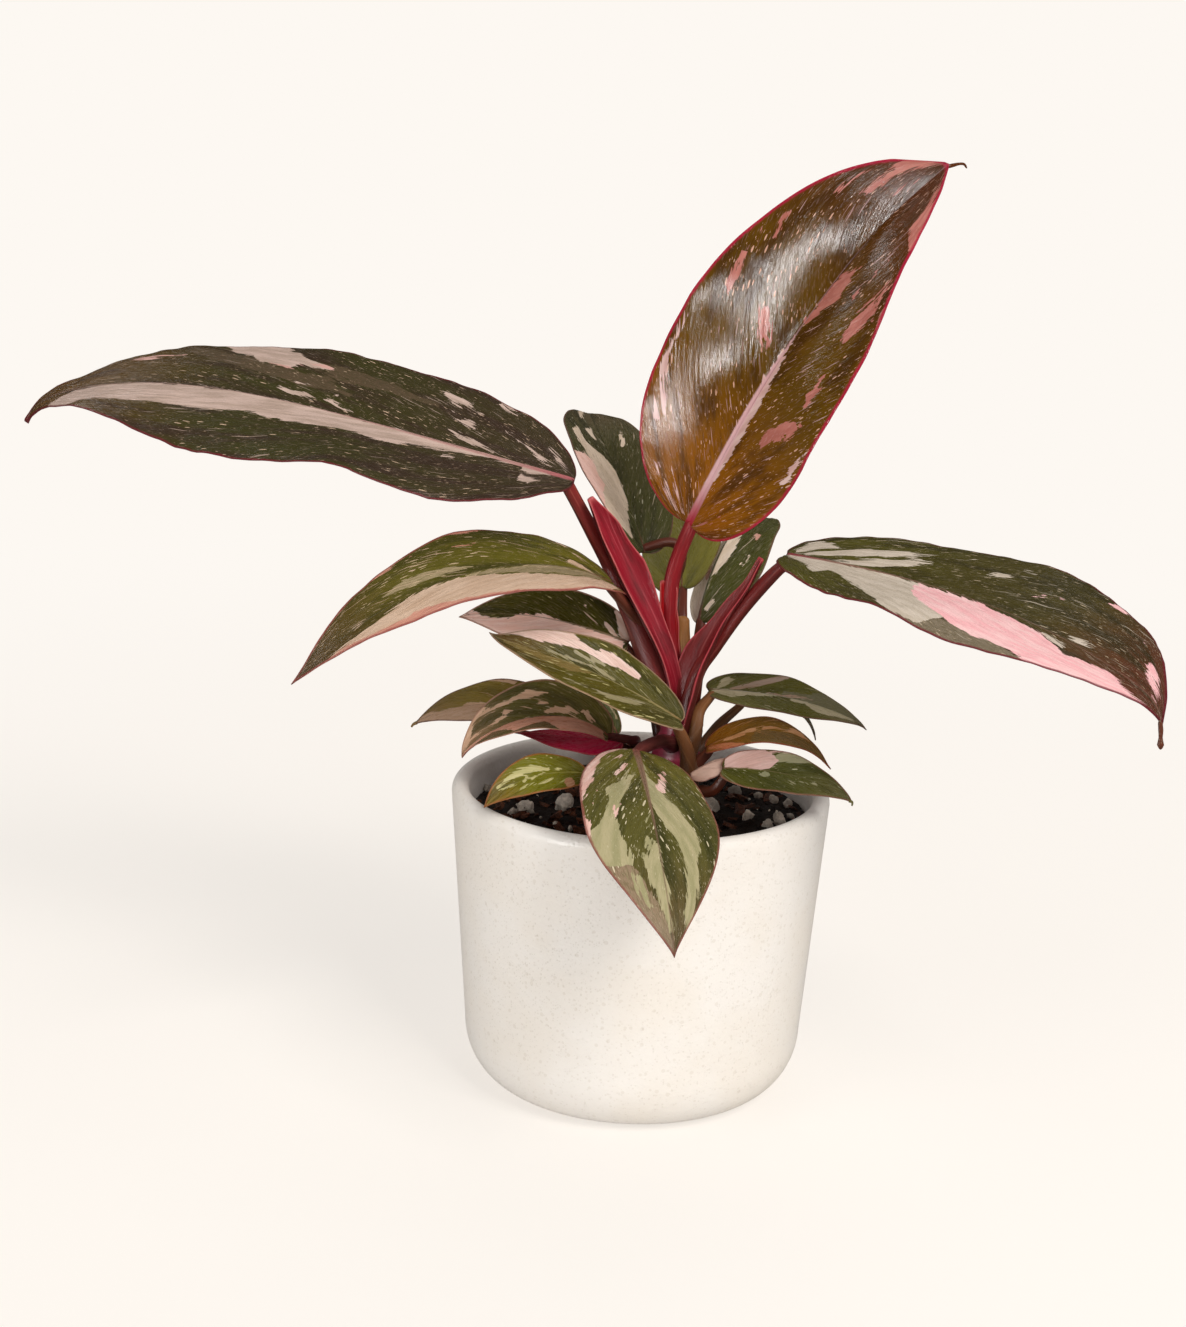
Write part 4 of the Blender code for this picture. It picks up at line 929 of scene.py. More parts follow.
class Tree:
    """Adds nodes to a node tree and links them as they are made."""

    def __init__(self, tree):
        self.tree = tree
        self.column = 0

    def add(self, kind, inputs=None, **settings):
        node = self.tree.nodes.new(kind)
        node.location = (self.column * 190, 0)
        self.column += 1
        for name, value in settings.items():
            setattr(node, name, value)
        for key, value in (inputs or {}).items():
            socket = node.inputs[key]
            if isinstance(value, bpy.types.NodeSocket):
                self.tree.links.new(value, socket)
            else:
                socket.default_value = value
        return node

    def group(self, name, **inputs):
        """The outputs of one of the shared node groups."""
        inputs = {key.capitalize(): value for key, value in inputs.items()}
        group = bpy.data.node_groups[name]
        return self.add("ShaderNodeGroup", inputs, node_tree=group).outputs

    def attribute(self, name, output="Vector"):
        return self.add("ShaderNodeAttribute", attribute_name=name).outputs[output]

    def object_place(self):
        return self.add("ShaderNodeTexCoord").outputs["Object"]

    def math(self, operation, a, b=0, c=0):
        return self.add("ShaderNodeMath", {0: a, 1: b, 2: c}, operation=operation).outputs[0]

    def times(self, a, b):
        return self.math("MULTIPLY", a, b)

    def less(self, a, b):
        return self.math("SUBTRACT", a, b)

    def times_plus(self, a, b, c):
        return self.math("MULTIPLY_ADD", a, b, c)

    def mix(self, factor, a, b):
        return self.add("ShaderNodeMix", {0: factor, 6: a, 7: b}, data_type="RGBA").outputs[2]

    def blend(self, factor, a, b):
        node = self.add("ShaderNodeMix", {0: factor, 2: a, 3: b}, data_type="FLOAT")
        return node.outputs[0]

    def step(self, value, low, high, start=0, end=1):
        """A soft step of value from low to high."""
        inputs = {0: value, 1: low, 2: high, 3: start, 4: end}
        return self.add("ShaderNodeMapRange", inputs, interpolation_type="SMOOTHSTEP").outputs[0]

    def vector(self, operation, a, b, output=0):
        return self.add("ShaderNodeVectorMath", {0: a, 1: b}, operation=operation).outputs[output]

    def scaled(self, vector, x, y, z=1):
        return self.vector("MULTIPLY", vector, (x, y, z))

    def length(self, vector):
        return self.vector("LENGTH", vector, (0, 0, 0), 1)

    def shifted(self, vector, seed):
        """The vector moved by the seed in its first two numbers."""
        offset = self.add("ShaderNodeCombineXYZ", {0: seed, 1: seed}).outputs[0]
        return self.vector("ADD", vector, offset)

    def split(self, vector):
        return self.add("ShaderNodeSeparateXYZ", {0: vector}).outputs

    def noise(self, vector, scale=1, detail=2, roughness=0.5, dimensions="2D"):
        inputs = {"Vector": vector, "Scale": scale, "Detail": detail, "Roughness": roughness}
        return self.add("ShaderNodeTexNoise", inputs, noise_dimensions=dimensions).outputs[0]

    def cells(self, vector, dimensions="2D"):
        """Distance to the nearest cell's middle, and three random numbers of that cell."""
        inputs = {"Vector": vector, "Scale": 1}
        outputs = self.add("ShaderNodeTexVoronoi", inputs, voronoi_dimensions=dimensions).outputs
        return outputs["Distance"], self.split(outputs["Color"])


def shader_group(name, inputs, outputs, build):
    """Makes a node group with named sockets. build gets a Tree and its input sockets, and
    returns the sockets for its outputs."""
    group = bpy.data.node_groups.new(name, "ShaderNodeTree")
    for socket, (kind, default) in inputs.items():
        made = group.interface.new_socket(socket, in_out="INPUT", socket_type=f"NodeSocket{kind}")
        if default is not None:
            made.default_value = default
    for socket, kind in outputs.items():
        group.interface.new_socket(socket, in_out="OUTPUT", socket_type=f"NodeSocket{kind}")
    tree = Tree(group)
    entry = group.nodes.new("NodeGroupInput")
    entry.location = (-220, 0)
    results = build(tree, entry.outputs)
    leave = tree.add("NodeGroupOutput")
    for socket, value in results.items():
        group.links.new(value, leave.inputs[socket])


def torn_patch(tree, inputs):
    """A patch's mask: its signed distance in millimetres, strayed along the veins."""
    place = tree.shifted(inputs["Vein"], inputs["Seed"])
    broad = tree.noise(tree.scaled(place, 0.7, 0.05))
    _, chance = tree.cells(tree.scaled(place, 1.15, 0.13))
    fine = tree.noise(tree.scaled(place, 2.6, 0.22), detail=3, roughness=0.6)
    stray = tree.math("ADD", tree.less(broad, 0.5), tree.less(fine, 0.5))
    stray = tree.times_plus(tree.less(chance[0], 0.5), 0.9, tree.times(stray, 1.7))
    moved = tree.times_plus(stray, inputs["Jag"], inputs["Distance"])
    return {"Mask": tree.step(moved, -0.07, 0.07)}


def vein_flecks(tree, inputs):
    """Short dashes that lie along the side veins."""
    vein = inputs["Vein"]
    away, chance = tree.cells(tree.scaled(tree.shifted(vein, inputs["Seed"]), 0.85, 0.2))
    size = tree.times(tree.math("POWER", chance[0], 2.6), 0.36)
    crowd = tree.noise(tree.scaled(vein, 0.09, 0.05), detail=1)
    size = tree.times(size, tree.step(crowd, 0.3, 0.62, 0.25, 1.25))
    size = tree.times(size, inputs["Amount"])
    rough = tree.less(tree.noise(tree.scaled(vein, 2.6, 0.7)), 0.5)
    return {"Mask": tree.step(tree.less(size, tree.times_plus(rough, 0.16, away)), -0.012, 0.012)}


def long_streaks(tree, inputs):
    """Long thin lines along the side veins."""
    vein = inputs["Vein"]
    lines = tree.noise(tree.scaled(vein, 1.9, 0.075), detail=1)
    crowd = tree.noise(tree.scaled(vein, 0.1, 0.07), detail=1)
    need = tree.math("ADD", tree.step(crowd, 0.35, 0.65, 0.8, 0.66), 0.12)
    need = tree.times_plus(inputs["Amount"], -0.16, need)
    return {"Mask": tree.step(tree.less(lines, need), -0.01, 0.02)}


def pin_dots(tree, inputs):
    """Tiny pale dots."""
    away, chance = tree.cells(tree.scaled(inputs["Vein"], 0.72, 0.72))
    size = tree.times(tree.math("POWER", chance[1], 3), 0.13)
    return {"Mask": tree.step(tree.less(tree.times(size, inputs["Amount"]), away), -0.02, 0.02)}


def mottled_ground(tree, inputs):
    """The blade's own colour, from base to tip, mottled and streaked along its veins."""
    vein, along, shade = inputs["Vein"], inputs["Along"], inputs["Shade"]
    colour = tree.mix(tree.step(along, 0.05, 0.45), inputs["Base"], inputs["Middle"])
    colour = tree.mix(tree.step(along, 0.55, 0.95), colour, inputs["Tip"])
    blot = tree.noise(tree.scaled(vein, 0.16, 0.05), detail=4, roughness=0.6)
    colour = tree.mix(tree.step(blot, 0.42, 0.7, 0, 0.8), colour, shade)
    streak = tree.noise(tree.scaled(vein, 1.9, 0.16), detail=3, roughness=0.65)
    colour = tree.mix(tree.step(streak, 0.5, 0.8, 0, 0.5), colour, shade)
    lift = tree.noise(tree.scaled(vein, 3.2, 0.45))
    return {"Color": tree.mix(tree.step(lift, 0.56, 0.8, 0, 0.16), colour, inputs["Light"])}


def veined_relief(tree, inputs):
    """Height of the fine grain that runs along the side veins."""
    vein = inputs["Vein"]
    grain = tree.noise(tree.scaled(vein, 3.4, 0.32), detail=3, roughness=0.6)
    ridge = tree.noise(tree.scaled(vein, 0.9, 0.1), detail=1)
    pores = tree.noise(tree.scaled(vein, 5, 5), detail=1)
    return {"Height": tree.times_plus(pores, 0.18, tree.times_plus(ridge, 1.6, grain))}


def fine_grain(tree, inputs):
    """Scattered grains, cloudy tone and small lumps on Object coordinates in metres."""
    place = tree.scaled(inputs["Place"], 1000, 1000, 1000)
    cloud = tree.noise(place, scale=0.05, detail=3, dimensions="3D")
    sized = tree.add("ShaderNodeVectorMath", {0: place, "Scale": inputs["Grain"]},
                     operation="SCALE")
    away, chance = tree.cells(sized.outputs[0], "3D")
    reach = tree.times(tree.math("POWER", chance[0], 3), 0.42)
    grains = tree.step(tree.less(reach, away), -0.03, 0.03)
    lumps = tree.noise(place, scale=1.5, detail=3, roughness=0.55, dimensions="3D")
    return {"Cloud": cloud, "Grains": grains, "Lumps": lumps}


def make_groups():
    vein = {"Vein": ("Vector", None)}
    amount, number, colour = ("Float", 0.5), ("Float", 0), ("Color", (0.1, 0.1, 0.1, 1))
    tones = {name: colour for name in ("Base", "Middle", "Tip", "Shade", "Light")}
    mask = {"Mask": "Float"}
    for build, inputs, outputs in (
        (torn_patch, {**vein, "Distance": number, "Jag": ("Float", 0.9), "Seed": number}, mask),
        (vein_flecks, {**vein, "Amount": amount, "Seed": number}, mask),
        (long_streaks, {**vein, "Amount": amount}, mask),
        (pin_dots, {**vein, "Amount": amount}, mask),
        (mottled_ground, {**vein, "Along": number, **tones}, {"Color": "Color"}),
        (veined_relief, vein, {"Height": "Float"}),
        (fine_grain, {"Place": ("Vector", None), "Grain": ("Float", 1)},
         {"Cloud": "Float", "Grains": "Float", "Lumps": "Float"}),
    ):
        shader_group(build.__name__, inputs, outputs, build)


def new_material(name, specular=0.5):
    material = bpy.data.materials.new(name)
    material.use_nodes = True
    shader = material.node_tree.nodes["Principled BSDF"]
    shader.inputs["Specular IOR Level"].default_value = specular
    return material, Tree(material.node_tree), shader


def finish_shader(tree, shader, colour, roughness=None, height=None, distance=0):
    link = tree.tree.links.new
    link(colour, shader.inputs["Base Color"])
    if height is not None:
        link(roughness, shader.inputs["Roughness"])
        bump = tree.add("ShaderNodeBump", {"Height": height, "Distance": distance, "Strength": 1})
        link(bump.outputs[0], shader.inputs["Normal"])
    shader.location = (tree.column * 190 + 200, 0)
    tree.tree.nodes["Material Output"].location = (tree.column * 190 + 500, 0)


def leaf_material(leaf, look, settings):
    material, tree, shader = new_material(leaf.name, 0.5 if look.gloss else 0.3)
    vein = tree.attribute("vein")
    fine = tree.scaled(vein, look.fine, look.fine)
    _, along, under = tree.split(tree.attribute("place"))
    mid, pale, pink = tree.split(tree.attribute("patches"))
    side, edge, _ = tree.split(tree.attribute("reach"))
    base, middle, tip = (tone(rgb) for rgb in look.ground)
    pale_tone, bright_pale = (tone(rgb) for rgb in look.pale)
    fleck, shade = tone(look.fleck), tone(look.shade)
    cloud = tree.noise(tree.scaled(vein, 0.5, 0.12), detail=3)
    speck = tree.noise(tree.scaled(vein, 2.2, 0.9))
    cloudy = tree.step(cloud, 0.35, 0.65)

    def patch(distance, seed):
        jag = settings.jag / MM * min(1, 0.35 + leaf.width / 60)
        return tree.group("torn_patch", vein=vein, distance=distance, jag=jag, seed=seed)[0]

    def dashes(place, amount, seed):
        return tree.group("vein_flecks", vein=place, amount=amount, seed=seed)[0]

    # The ground and the markings on it
    colour = tree.group("mottled_ground", vein=vein, along=along, base=base, middle=middle,
                        tip=tip, shade=shade, light=pale_tone)[0]
    mid_tone = tree.mix(tree.step(speck, 0.4, 0.7, 0, 0.5), tone(look.mid_tone), middle)
    colour = tree.mix(patch(mid, 11), colour, mid_tone)
    streaks = tree.group("long_streaks", vein=fine, amount=look.streaks)[0]
    colour = tree.mix(tree.times(streaks, 0.62), colour, pale_tone)
    small = dashes(tree.scaled(fine, 1.9, 1.5), look.flecks * 0.85, 90)
    colour = tree.mix(tree.times(small, 0.7), colour, fleck)
    colour = tree.mix(tree.times(dashes(fine, look.flecks, 3), 0.9), colour, fleck)
    # Pale patches; on the bronze leaf two of them are painted highlight streaks along its curled
    # left margin.
    pale_and_highlight_mask = patch(pale, 23)
    colour = tree.mix(tree.times(pale_and_highlight_mask, 0.96), colour,
                      tree.mix(cloudy, pale_tone, bright_pale))
    pink_tone = tree.mix(cloudy, *(tone(rgb) for rgb in look.pink))
    pink_tone = tree.mix(tree.step(speck, 0.52, 0.75, 0, 0.22), pink_tone, pale_tone)
    colour = tree.mix(patch(pink, 37), colour, pink_tone)
    dots = tree.group("pin_dots", vein=fine, amount=look.dots)[0]
    colour = tree.mix(tree.times(dots, 0.75), colour, fleck)

    # The midrib, the margin and the underside
    glow = look.rib_glow
    half = tree.blend(tree.step(along, 0, glow + 0.2), *look.rib_width)
    rib = tree.step(tree.less(half, side), -0.15, 0.2)
    rib_tone = tree.mix(tree.step(along, 0, 0.13, 1, 0), tone(look.rib), tone(look.rib_foot))
    dim = tree.step(along, glow, glow + 0.35, 0.95, 0.55)
    colour = tree.mix(tree.times(rib, dim), colour, rib_tone)
    ragged = tree.times_plus(tree.less(speck, 0.5), 0.5, edge)
    margin = tree.step(ragged, look.margin_width * 0.4, look.margin_width * 1.5, 1, 0)
    colour = tree.mix(tree.times(margin, 0.9), colour, tone(look.margin))
    below = tree.mix(0.35, tone(look.under), colour)
    below = tree.mix(tree.step(cloud, 0.4, 0.7, 0, 0.4), below, shade)
    colour = tree.mix(under, colour, below)

    height = tree.times_plus(pale_and_highlight_mask, 0.25, tree.group("veined_relief", vein=vein)[0])
    rough = tree.step(speck, 0.3, 0.7, settings.roughness - 0.05, settings.roughness + 0.07)
    rough = tree.less(tree.times_plus(under, 0.18, rough), look.gloss)
    finish_shader(tree, shader, colour, rough, height, 0.00009 * look.relief)
    return material


def stalk_material(name, tones, settings):
    """A stalk or sheath: darker back, brighter face, fine streaks and a bright edge."""
    _, tree, shader = new_material(name, 0.35)
    back, face, streak, edge = (tone(rgb) for rgb in tones)
    place = tree.attribute("stalk")
    facing, rim, _ = tree.split(tree.attribute("side"))
    lines = tree.noise(tree.scaled(place, 0.06, 1.7), detail=3, roughness=0.6)
    blot = tree.noise(tree.scaled(place, 0.14, 0.5), detail=3)
    colour = tree.mix(tree.step(facing, -0.25, 0.65), back, face)
    colour = tree.mix(tree.step(blot, 0.45, 0.75, 0, 0.45), colour, back)
    colour = tree.mix(tree.step(lines, 0.54, 0.74, 0, 0.6), colour, streak)
    colour = tree.mix(tree.step(lines, 0.22, 0.4, 0.5, 0), colour, back)
    colour = tree.mix(rim, colour, edge)
    # Painted shade near the crown: from 87 mm down to 72 mm above the underside the colour darkens
    # towards a dim back tone.
    painted_crown_shade = tree.step(tree.split(tree.object_place())[2], 0.072, 0.087, 0.75, 0)
    colour = tree.mix(painted_crown_shade, colour, opaque(back, 0.22))
    height = tree.times_plus(tree.noise(tree.scaled(place, 0.4, 5)), 0.5, lines)
    rough = tree.step(blot, 0.3, 0.7, settings.roughness - 0.05, settings.roughness + 0.1)
    finish_shader(tree, shader, colour, rough, height, 0.0001)


# ---------------------------------------------------------------- shapes


def deselect():
    bpy.ops.object.select_all(action="DESELECT")


def only(obj):
    """Makes obj the one selected and active object."""
    deselect()
    obj.select_set(True)
    bpy.context.view_layer.objects.active = obj


@contextmanager
def editing(obj):
    """Edit mode on obj, with all of it selected."""
    only(obj)
    bpy.ops.object.mode_set(mode="EDIT")
    bpy.ops.mesh.select_all(action="SELECT")
    yield
    bpy.ops.object.mode_set(mode="OBJECT")


def weld(obj, distance):
    """Merges the vertices that coincide, as at a tip or a seam."""
    with editing(obj):
        bpy.ops.mesh.remove_doubles(threshold=distance)


def outward(obj):
    with editing(obj):
        bpy.ops.mesh.normals_make_consistent(inside=False)
    bpy.ops.object.shade_smooth()


def put(obj):
    bpy.context.collection.objects.link(obj)


def joined(pieces, name):
    deselect()
    for piece in pieces:
        piece.select_set(True)
    bpy.context.view_layer.objects.active = pieces[0]
    if len(pieces) > 1:
        bpy.ops.object.join()
    pieces[0].name = name
    pieces[0].data.name = name
    return pieces[0]


def grid(name, rows, columns):
    """A grid over -1 to 1, ready to be shaped, and its vertices' places."""
    deselect()
    bpy.ops.mesh.primitive_grid_add(x_subdivisions=rows, y_subdivisions=columns, size=2)
    obj = bpy.context.object
    obj.name = obj.data.name = name
    return obj, coordinates(obj)


def coordinates(obj):
    flat = np.empty(len(obj.data.vertices) * 3)
    obj.data.vertices.foreach_get("co", flat)
    return flat.reshape(-1, 3)


def place_vertices(obj, places):
    obj.data.vertices.foreach_set("co", np.asarray(places, float).ravel())
    obj.data.update()


def triples(x, y, z=0):
    return np.stack(np.broadcast_arrays(x, y, z), -1)


def store(obj, name, values, kind="FLOAT_VECTOR"):
    layer = obj.data.attributes.new(name, kind, "POINT")
    layer.data.foreach_set("vector" if kind == "FLOAT_VECTOR" else "value",
                           np.asarray(values, float).ravel())


def restore(obj, name, column, start, end, value):
    """Sets one column of a stored attribute to a value, for the vertices from start to end."""
    layer = obj.data.attributes[name]
    values = np.empty(len(obj.data.vertices) * 3)
    layer.data.foreach_get("vector", values)
    values[3 * start + column:3 * end:3] = value
    layer.data.foreach_set("vector", values)


def weigh(obj, weights):
    group = obj.vertex_groups.new(name="thickness")
    for index, value in enumerate(weights):
        group.add([index], float(value), "REPLACE")


def thicken(obj, thickness):
    """Makes a weighed sheet solid about its middle surface. The upper side comes first."""
    only(obj)
    sheet = obj.modifiers.new("sheet", "SOLIDIFY")
    sheet.thickness = thickness
    sheet.offset = 0
    sheet.vertex_group = "thickness"
    bpy.ops.object.modifier_apply(modifier=sheet.name)
    obj.vertex_groups.clear()


def rounded_ends(s, start, end):
    """A factor for a tube's radius that closes it like a ball over a stretch at each end."""
    near_end, near_start = np.clip((1 - s) / end, 0, 1), np.clip(s / start, 0, 1)
    return np.sqrt((1 - (1 - near_end) ** 2) * (1 - (1 - near_start) ** 2))


def tube(name, rows, columns):
    """A grid to roll up, with each vertex's place from 0 to 1 along it and angle round it."""
    obj, flat = grid(name, rows, columns)
    return obj, flat[:, 0] / 2 + 0.5, flat[:, 1] * np.pi


def path_length(points):
    return float(np.sum(np.linalg.norm(np.diff(np.array(points, float), axis=0), axis=1)))


def unit(vectors):
    return vectors / np.maximum(np.linalg.norm(vectors, axis=-1), 1e-9)[..., None]


def rib_frames(leaf, share):
    """Unit vectors along the rib, to its left and up from the blade, at shares of its length."""
    hooked = np.clip((share - HOOK_START) / (1 - HOOK_START), 0, 1) ** HOOK_POWER
    heading = np.radians(leaf.heading + leaf.sweep * share)
    pitch = np.radians(leaf.pitch - leaf.droop * share**leaf.late - leaf.hook * hooked)
    roll = np.radians(leaf.roll + leaf.twist * share)[:, None]
    flat = np.cos(pitch)
    along = triples(flat * np.cos(heading), flat * np.sin(heading), np.sin(pitch))
    level = triples(-np.sin(heading), np.cos(heading))
    above = np.cross(along, level)
    left = level * np.cos(roll) + above * np.sin(roll)
    up = above * np.cos(roll) - level * np.sin(roll)
    return along, left, up


def half_width(leaf, t):
    before = np.minimum(t / leaf.widest, 1)
    after = np.maximum((t - leaf.widest) / (1 - leaf.widest), 0)
    rise = (1 - (1 - before) ** BLADE_ROUNDNESS) ** BLADE_FULLNESS
    return leaf.width / 2 * rise * (1 - after**leaf.full) ** leaf.taper


def blade_surface(leaf, t, v):
    """Points of the blade's middle surface in millimetres, and which way is up there."""
    middles = (np.arange(RIB_STEPS) + 0.5) / RIB_STEPS
    rib = np.vstack([np.zeros(3), np.cumsum(rib_frames(leaf, middles)[0], 0)])
    rib = rib * leaf.length / RIB_STEPS + np.array(leaf.base)
    width = half_width(leaf, t)
    back = leaf.lobe * np.sqrt(t / LOBE_REACH) * np.exp((1 - t / LOBE_REACH) / 2)
    back = back * np.where(v < 0, leaf.right_lobe, 1)
    share = t - back * np.abs(v) ** 1.5
    inside = np.clip(share, 0, 1)
    along, left, up = rib_frames(leaf, inside)
    place = triples(*(np.interp(inside * RIB_STEPS, range(RIB_STEPS + 1), k) for k in rib.T))
    place = place + along * (np.minimum(share, 0) * leaf.length)[:, None]
    ripple = np.sin(2 * np.pi * MARGIN_WAVES * t + np.where(v > 0, 0, MARGIN_LAG))
    out = v * width
    fold = math.radians(leaf.fold)
    lift = np.abs(out) * math.sin(fold) + width * v**2 * (leaf.wave * ripple - leaf.camber)
    lift = lift + leaf.bulge * width * np.sin(np.pi * np.abs(v) ** 0.75)
    for table, chosen in ((leaf.lift_left, v > 0), (leaf.lift_right, v < 0)):
        lift = lift + np.interp(t, *zip(*table)) * v**2 * chosen
    return place + left * (out * math.cos(fold))[:, None] + up * lift[:, None], up


def patch_distance(patches, leaf, t, v):
    """Signed distance in millimetres into the nearest patch, above zero inside it."""
    width = half_width(leaf, t)
    best = np.full(t.shape, -3.0)
    for patch in patches:
        shares, low, high = (np.array(column) / 100 for column in zip(*patch))
        outside = np.maximum(shares[0] - t, t - shares[-1]) * leaf.length
        low, high = np.interp(t, shares, low), np.interp(t, shares, high)
        across = ((high - low) / 2 - np.abs(v - (low + high) / 2)) * width
        best = np.maximum(best, np.where(outside > 0, np.minimum(across, -outside), across))
    return np.clip(best, -3, 3)


def vein_space(leaf, t, v, seed):
    """Millimetres across the side veins and along them, apart for each side of each leaf."""
    reach = leaf.width / 2
    run = reach * leaf.vein_run
    slant = math.hypot(run, reach)
    across = (t * leaf.length - run * np.abs(v)) * reach / slant
    apart = 61 * seed + np.where(v < 0, 29, 0)
    return triples(across + apart, np.abs(v) * slant + apart)


def scattered(places, scale, seed):
    """Smooth noise at places in millimetres."""
    return np.array([noise.noise(Vector(p) * scale + Vector((seed, 0, 0))) for p in places])


def build_leaf(leaf, look, seed, settings):
    large = leaf.length > LARGE_LEAF
    stations = np.array(LARGE_COLUMNS if large else SMALL_COLUMNS)
    rows = max(int(leaf.length / (ROW_SPACING if large else ROW_SPACING * 0.65)), 28)
    obj, flat = grid(leaf.name, rows, 2 * (len(stations) - 1))
    s, across = flat[:, 0] / 2 + 0.5, flat[:, 1]
    t = np.clip(s - END_CROWDING * np.sin(2 * np.pi * s) / (2 * np.pi), 0, 1)
    v = np.sign(across) * np.interp(np.abs(across), np.linspace(0, 1, len(stations)), stations)
    place, up = blade_surface(leaf, t, v)
    width = half_width(leaf, t)
    vein = vein_space(leaf, t, v, seed)
    pleat = leaf.pleats * settings.pleat / MM * np.sin(2 * np.pi * (vein[:, 0] / 1.9))
    pleat *= np.clip(np.abs(v) * 6, 0, 1) * np.clip((1 - np.abs(v)) * 5, 0, 1)
    size = min(leaf.width / 45, 1)
    buckle = scattered(place, 0.11, seed) * 0.5 * size * leaf.buckle
    buckle *= np.clip(width / 8, 0, 1) * np.abs(v) ** 0.5
    for at, over, rise, spread in leaf.domes:
        away = np.hypot((t - at) * leaf.length, v * width - over * half_width(leaf, at))
        buckle += rise * np.exp(-((away / spread) ** 2)) * (np.sign(over) == np.sign(v))
    ripple = scattered(place, 0.28, seed + 50) * 0.3 * size * np.abs(v) ** 4
    place = place + up * (pleat + buckle + ripple)[:, None]
    place_vertices(obj, place * MM)

    side = np.abs(v) * width
    edge = np.minimum((1 - np.abs(v)) * width, (1 - t) * leaf.length * 0.6)
    store(obj, "vein", vein)
    store(obj, "reach", triples(side, edge))
    patches = (look.mid, look.pale_patches, look.pink_patches)
    store(obj, "patches", triples(*(patch_distance(p, leaf, t, v) for p in patches)) - look.slim)
    store(obj, "place", triples(side, t))
    keel = np.exp(-((side / (0.45 + 0.75 * size * (1 - t) ** 1.2)) ** 2))
    body = 0.3 + 0.12 * np.clip(edge / 3, 0, 1)
    weight = np.clip(body + keel * (0.62 * (1 - t) ** 0.8 + 0.06), 0, 1)
    weigh(obj, weight * np.clip(0.35 + edge / 1.2, 0.35, 1))
    weld(obj, 0.004 * MM)
    upper = len(obj.data.vertices)
    thicken(obj, settings.thickness * (0.62 + 0.38 * size))
    restore(obj, "place", 2, upper, len(obj.data.vertices), 1)
    bpy.ops.object.shade_smooth()
    if leaf.tail:
        obj = joined([obj, tail_piece(leaf)], leaf.name)
    place_vertices(obj, np.clip(coordinates(obj), *CAD_BOX))
    return obj


def tail_piece(leaf):
    """The dry thread at a blade's tip. Its points are offsets from the tip."""
    tip = blade_surface(leaf, np.array([1.0]), np.array([0.0]))[0][0]
    points = [tip + np.array(offset) for offset in leaf.tail]
    obj, s, angle = tube("tail", 24, 10)
    radius = np.interp(s, np.linspace(0, 1, len(leaf.tail_radii)), leaf.tail_radii)
    radius = (radius * rounded_ends(s, 0.1, 0.1))[:, None]
    _, front, side = path_frames(points, s, (0, -1, 0))
    turned = front * np.cos(angle)[:, None] + side * np.sin(angle)[:, None]
    place_vertices(obj, (smooth_path(points, s) + turned * radius) * MM)
    store(obj, "vein", triples(s * 3, angle))
    store(obj, "reach", triples(2, 5 + 0 * s))
    store(obj, "patches", triples(-3, -3, -3 + 0 * s))
    store(obj, "place", triples(0, 1 + 0 * s))
    weld(obj, 0.002 * MM)
    outward(obj)
    return obj


def smooth_path(points, shares):
    """Points of a smooth curve through the given points, at shares from 0 to 1."""
    points = np.array(points, float)
    ends = np.vstack([2 * points[0] - points[1], points, 2 * points[-1] - points[-2]])
    spots = shares * (len(points) - 1)
    first = np.minimum(spots.astype(int), len(points) - 2)
    t = (spots - first)[:, None]
    a, b, c, d = (ends[first + k] for k in range(4))
    square = 2 * a - 5 * b + 4 * c - d
    cube = 3 * b - a - 3 * c + d
    return 0.5 * (2 * b + (c - a) * t + square * t**2 + cube * t**3)


def path_frames(points, shares, facing):
    """Along, facing and side unit vectors on a smooth path."""
    step = 0.01
    along = unit(smooth_path(points, np.minimum(shares + step, 1))
                 - smooth_path(points, np.maximum(shares - step, 0)))
    facing = np.array(facing, float)
    front = unit(facing - along * (along @ facing)[:, None])
    return along, front, np.cross(along, front)


def stalk_piece(stalk):
    """A stalk whose face is flatter than its back, closed at both ends."""
    points = list(stalk.points)
    if stalk.leaf:
        leaf = next(leaf for leaf in LEAVES if leaf.name == stalk.leaf)
        along, _, up = (vector[0] for vector in rib_frames(leaf, np.array([0.0])))
        points.append(tuple(np.array(leaf.base) + along * 1.1 * stalk.radii[-1] - up * 0.25))
    length = path_length(points)
    obj, s, angle = tube("stalk", max(int(length / 0.8), 12), 22)
    s = s - STALK_CROWDING * np.sin(2 * np.pi * s) / (2 * np.pi)
    radius = np.interp(s, np.linspace(0, 1, len(stalk.radii)), stalk.radii)
    _, front, side = path_frames(points, s, stalk.facing)
    face = np.cos(angle)
    flatter = 1 - 0.16 * np.clip(face, 0, 1) ** 2 + 0.05 * np.clip(-face, 0, 1) ** 3
    swell = 1 + 0.03 * np.sin(3 * angle + 7 * s) + 0.02 * np.sin(s * length / 2.3)
    reach = radius * rounded_ends(s, radius / length, radius / length) * flatter * swell
    turned = front * face[:, None] + side * np.sin(angle)[:, None]
    place_vertices(obj, (smooth_path(points, s) + turned * reach[:, None]) * MM)
    store(obj, "stalk", triples(s * length + 40 * len(stalk.points), angle * radius))
    store(obj, "side", triples(face, 0))
    return grown(obj, stalk.finish)


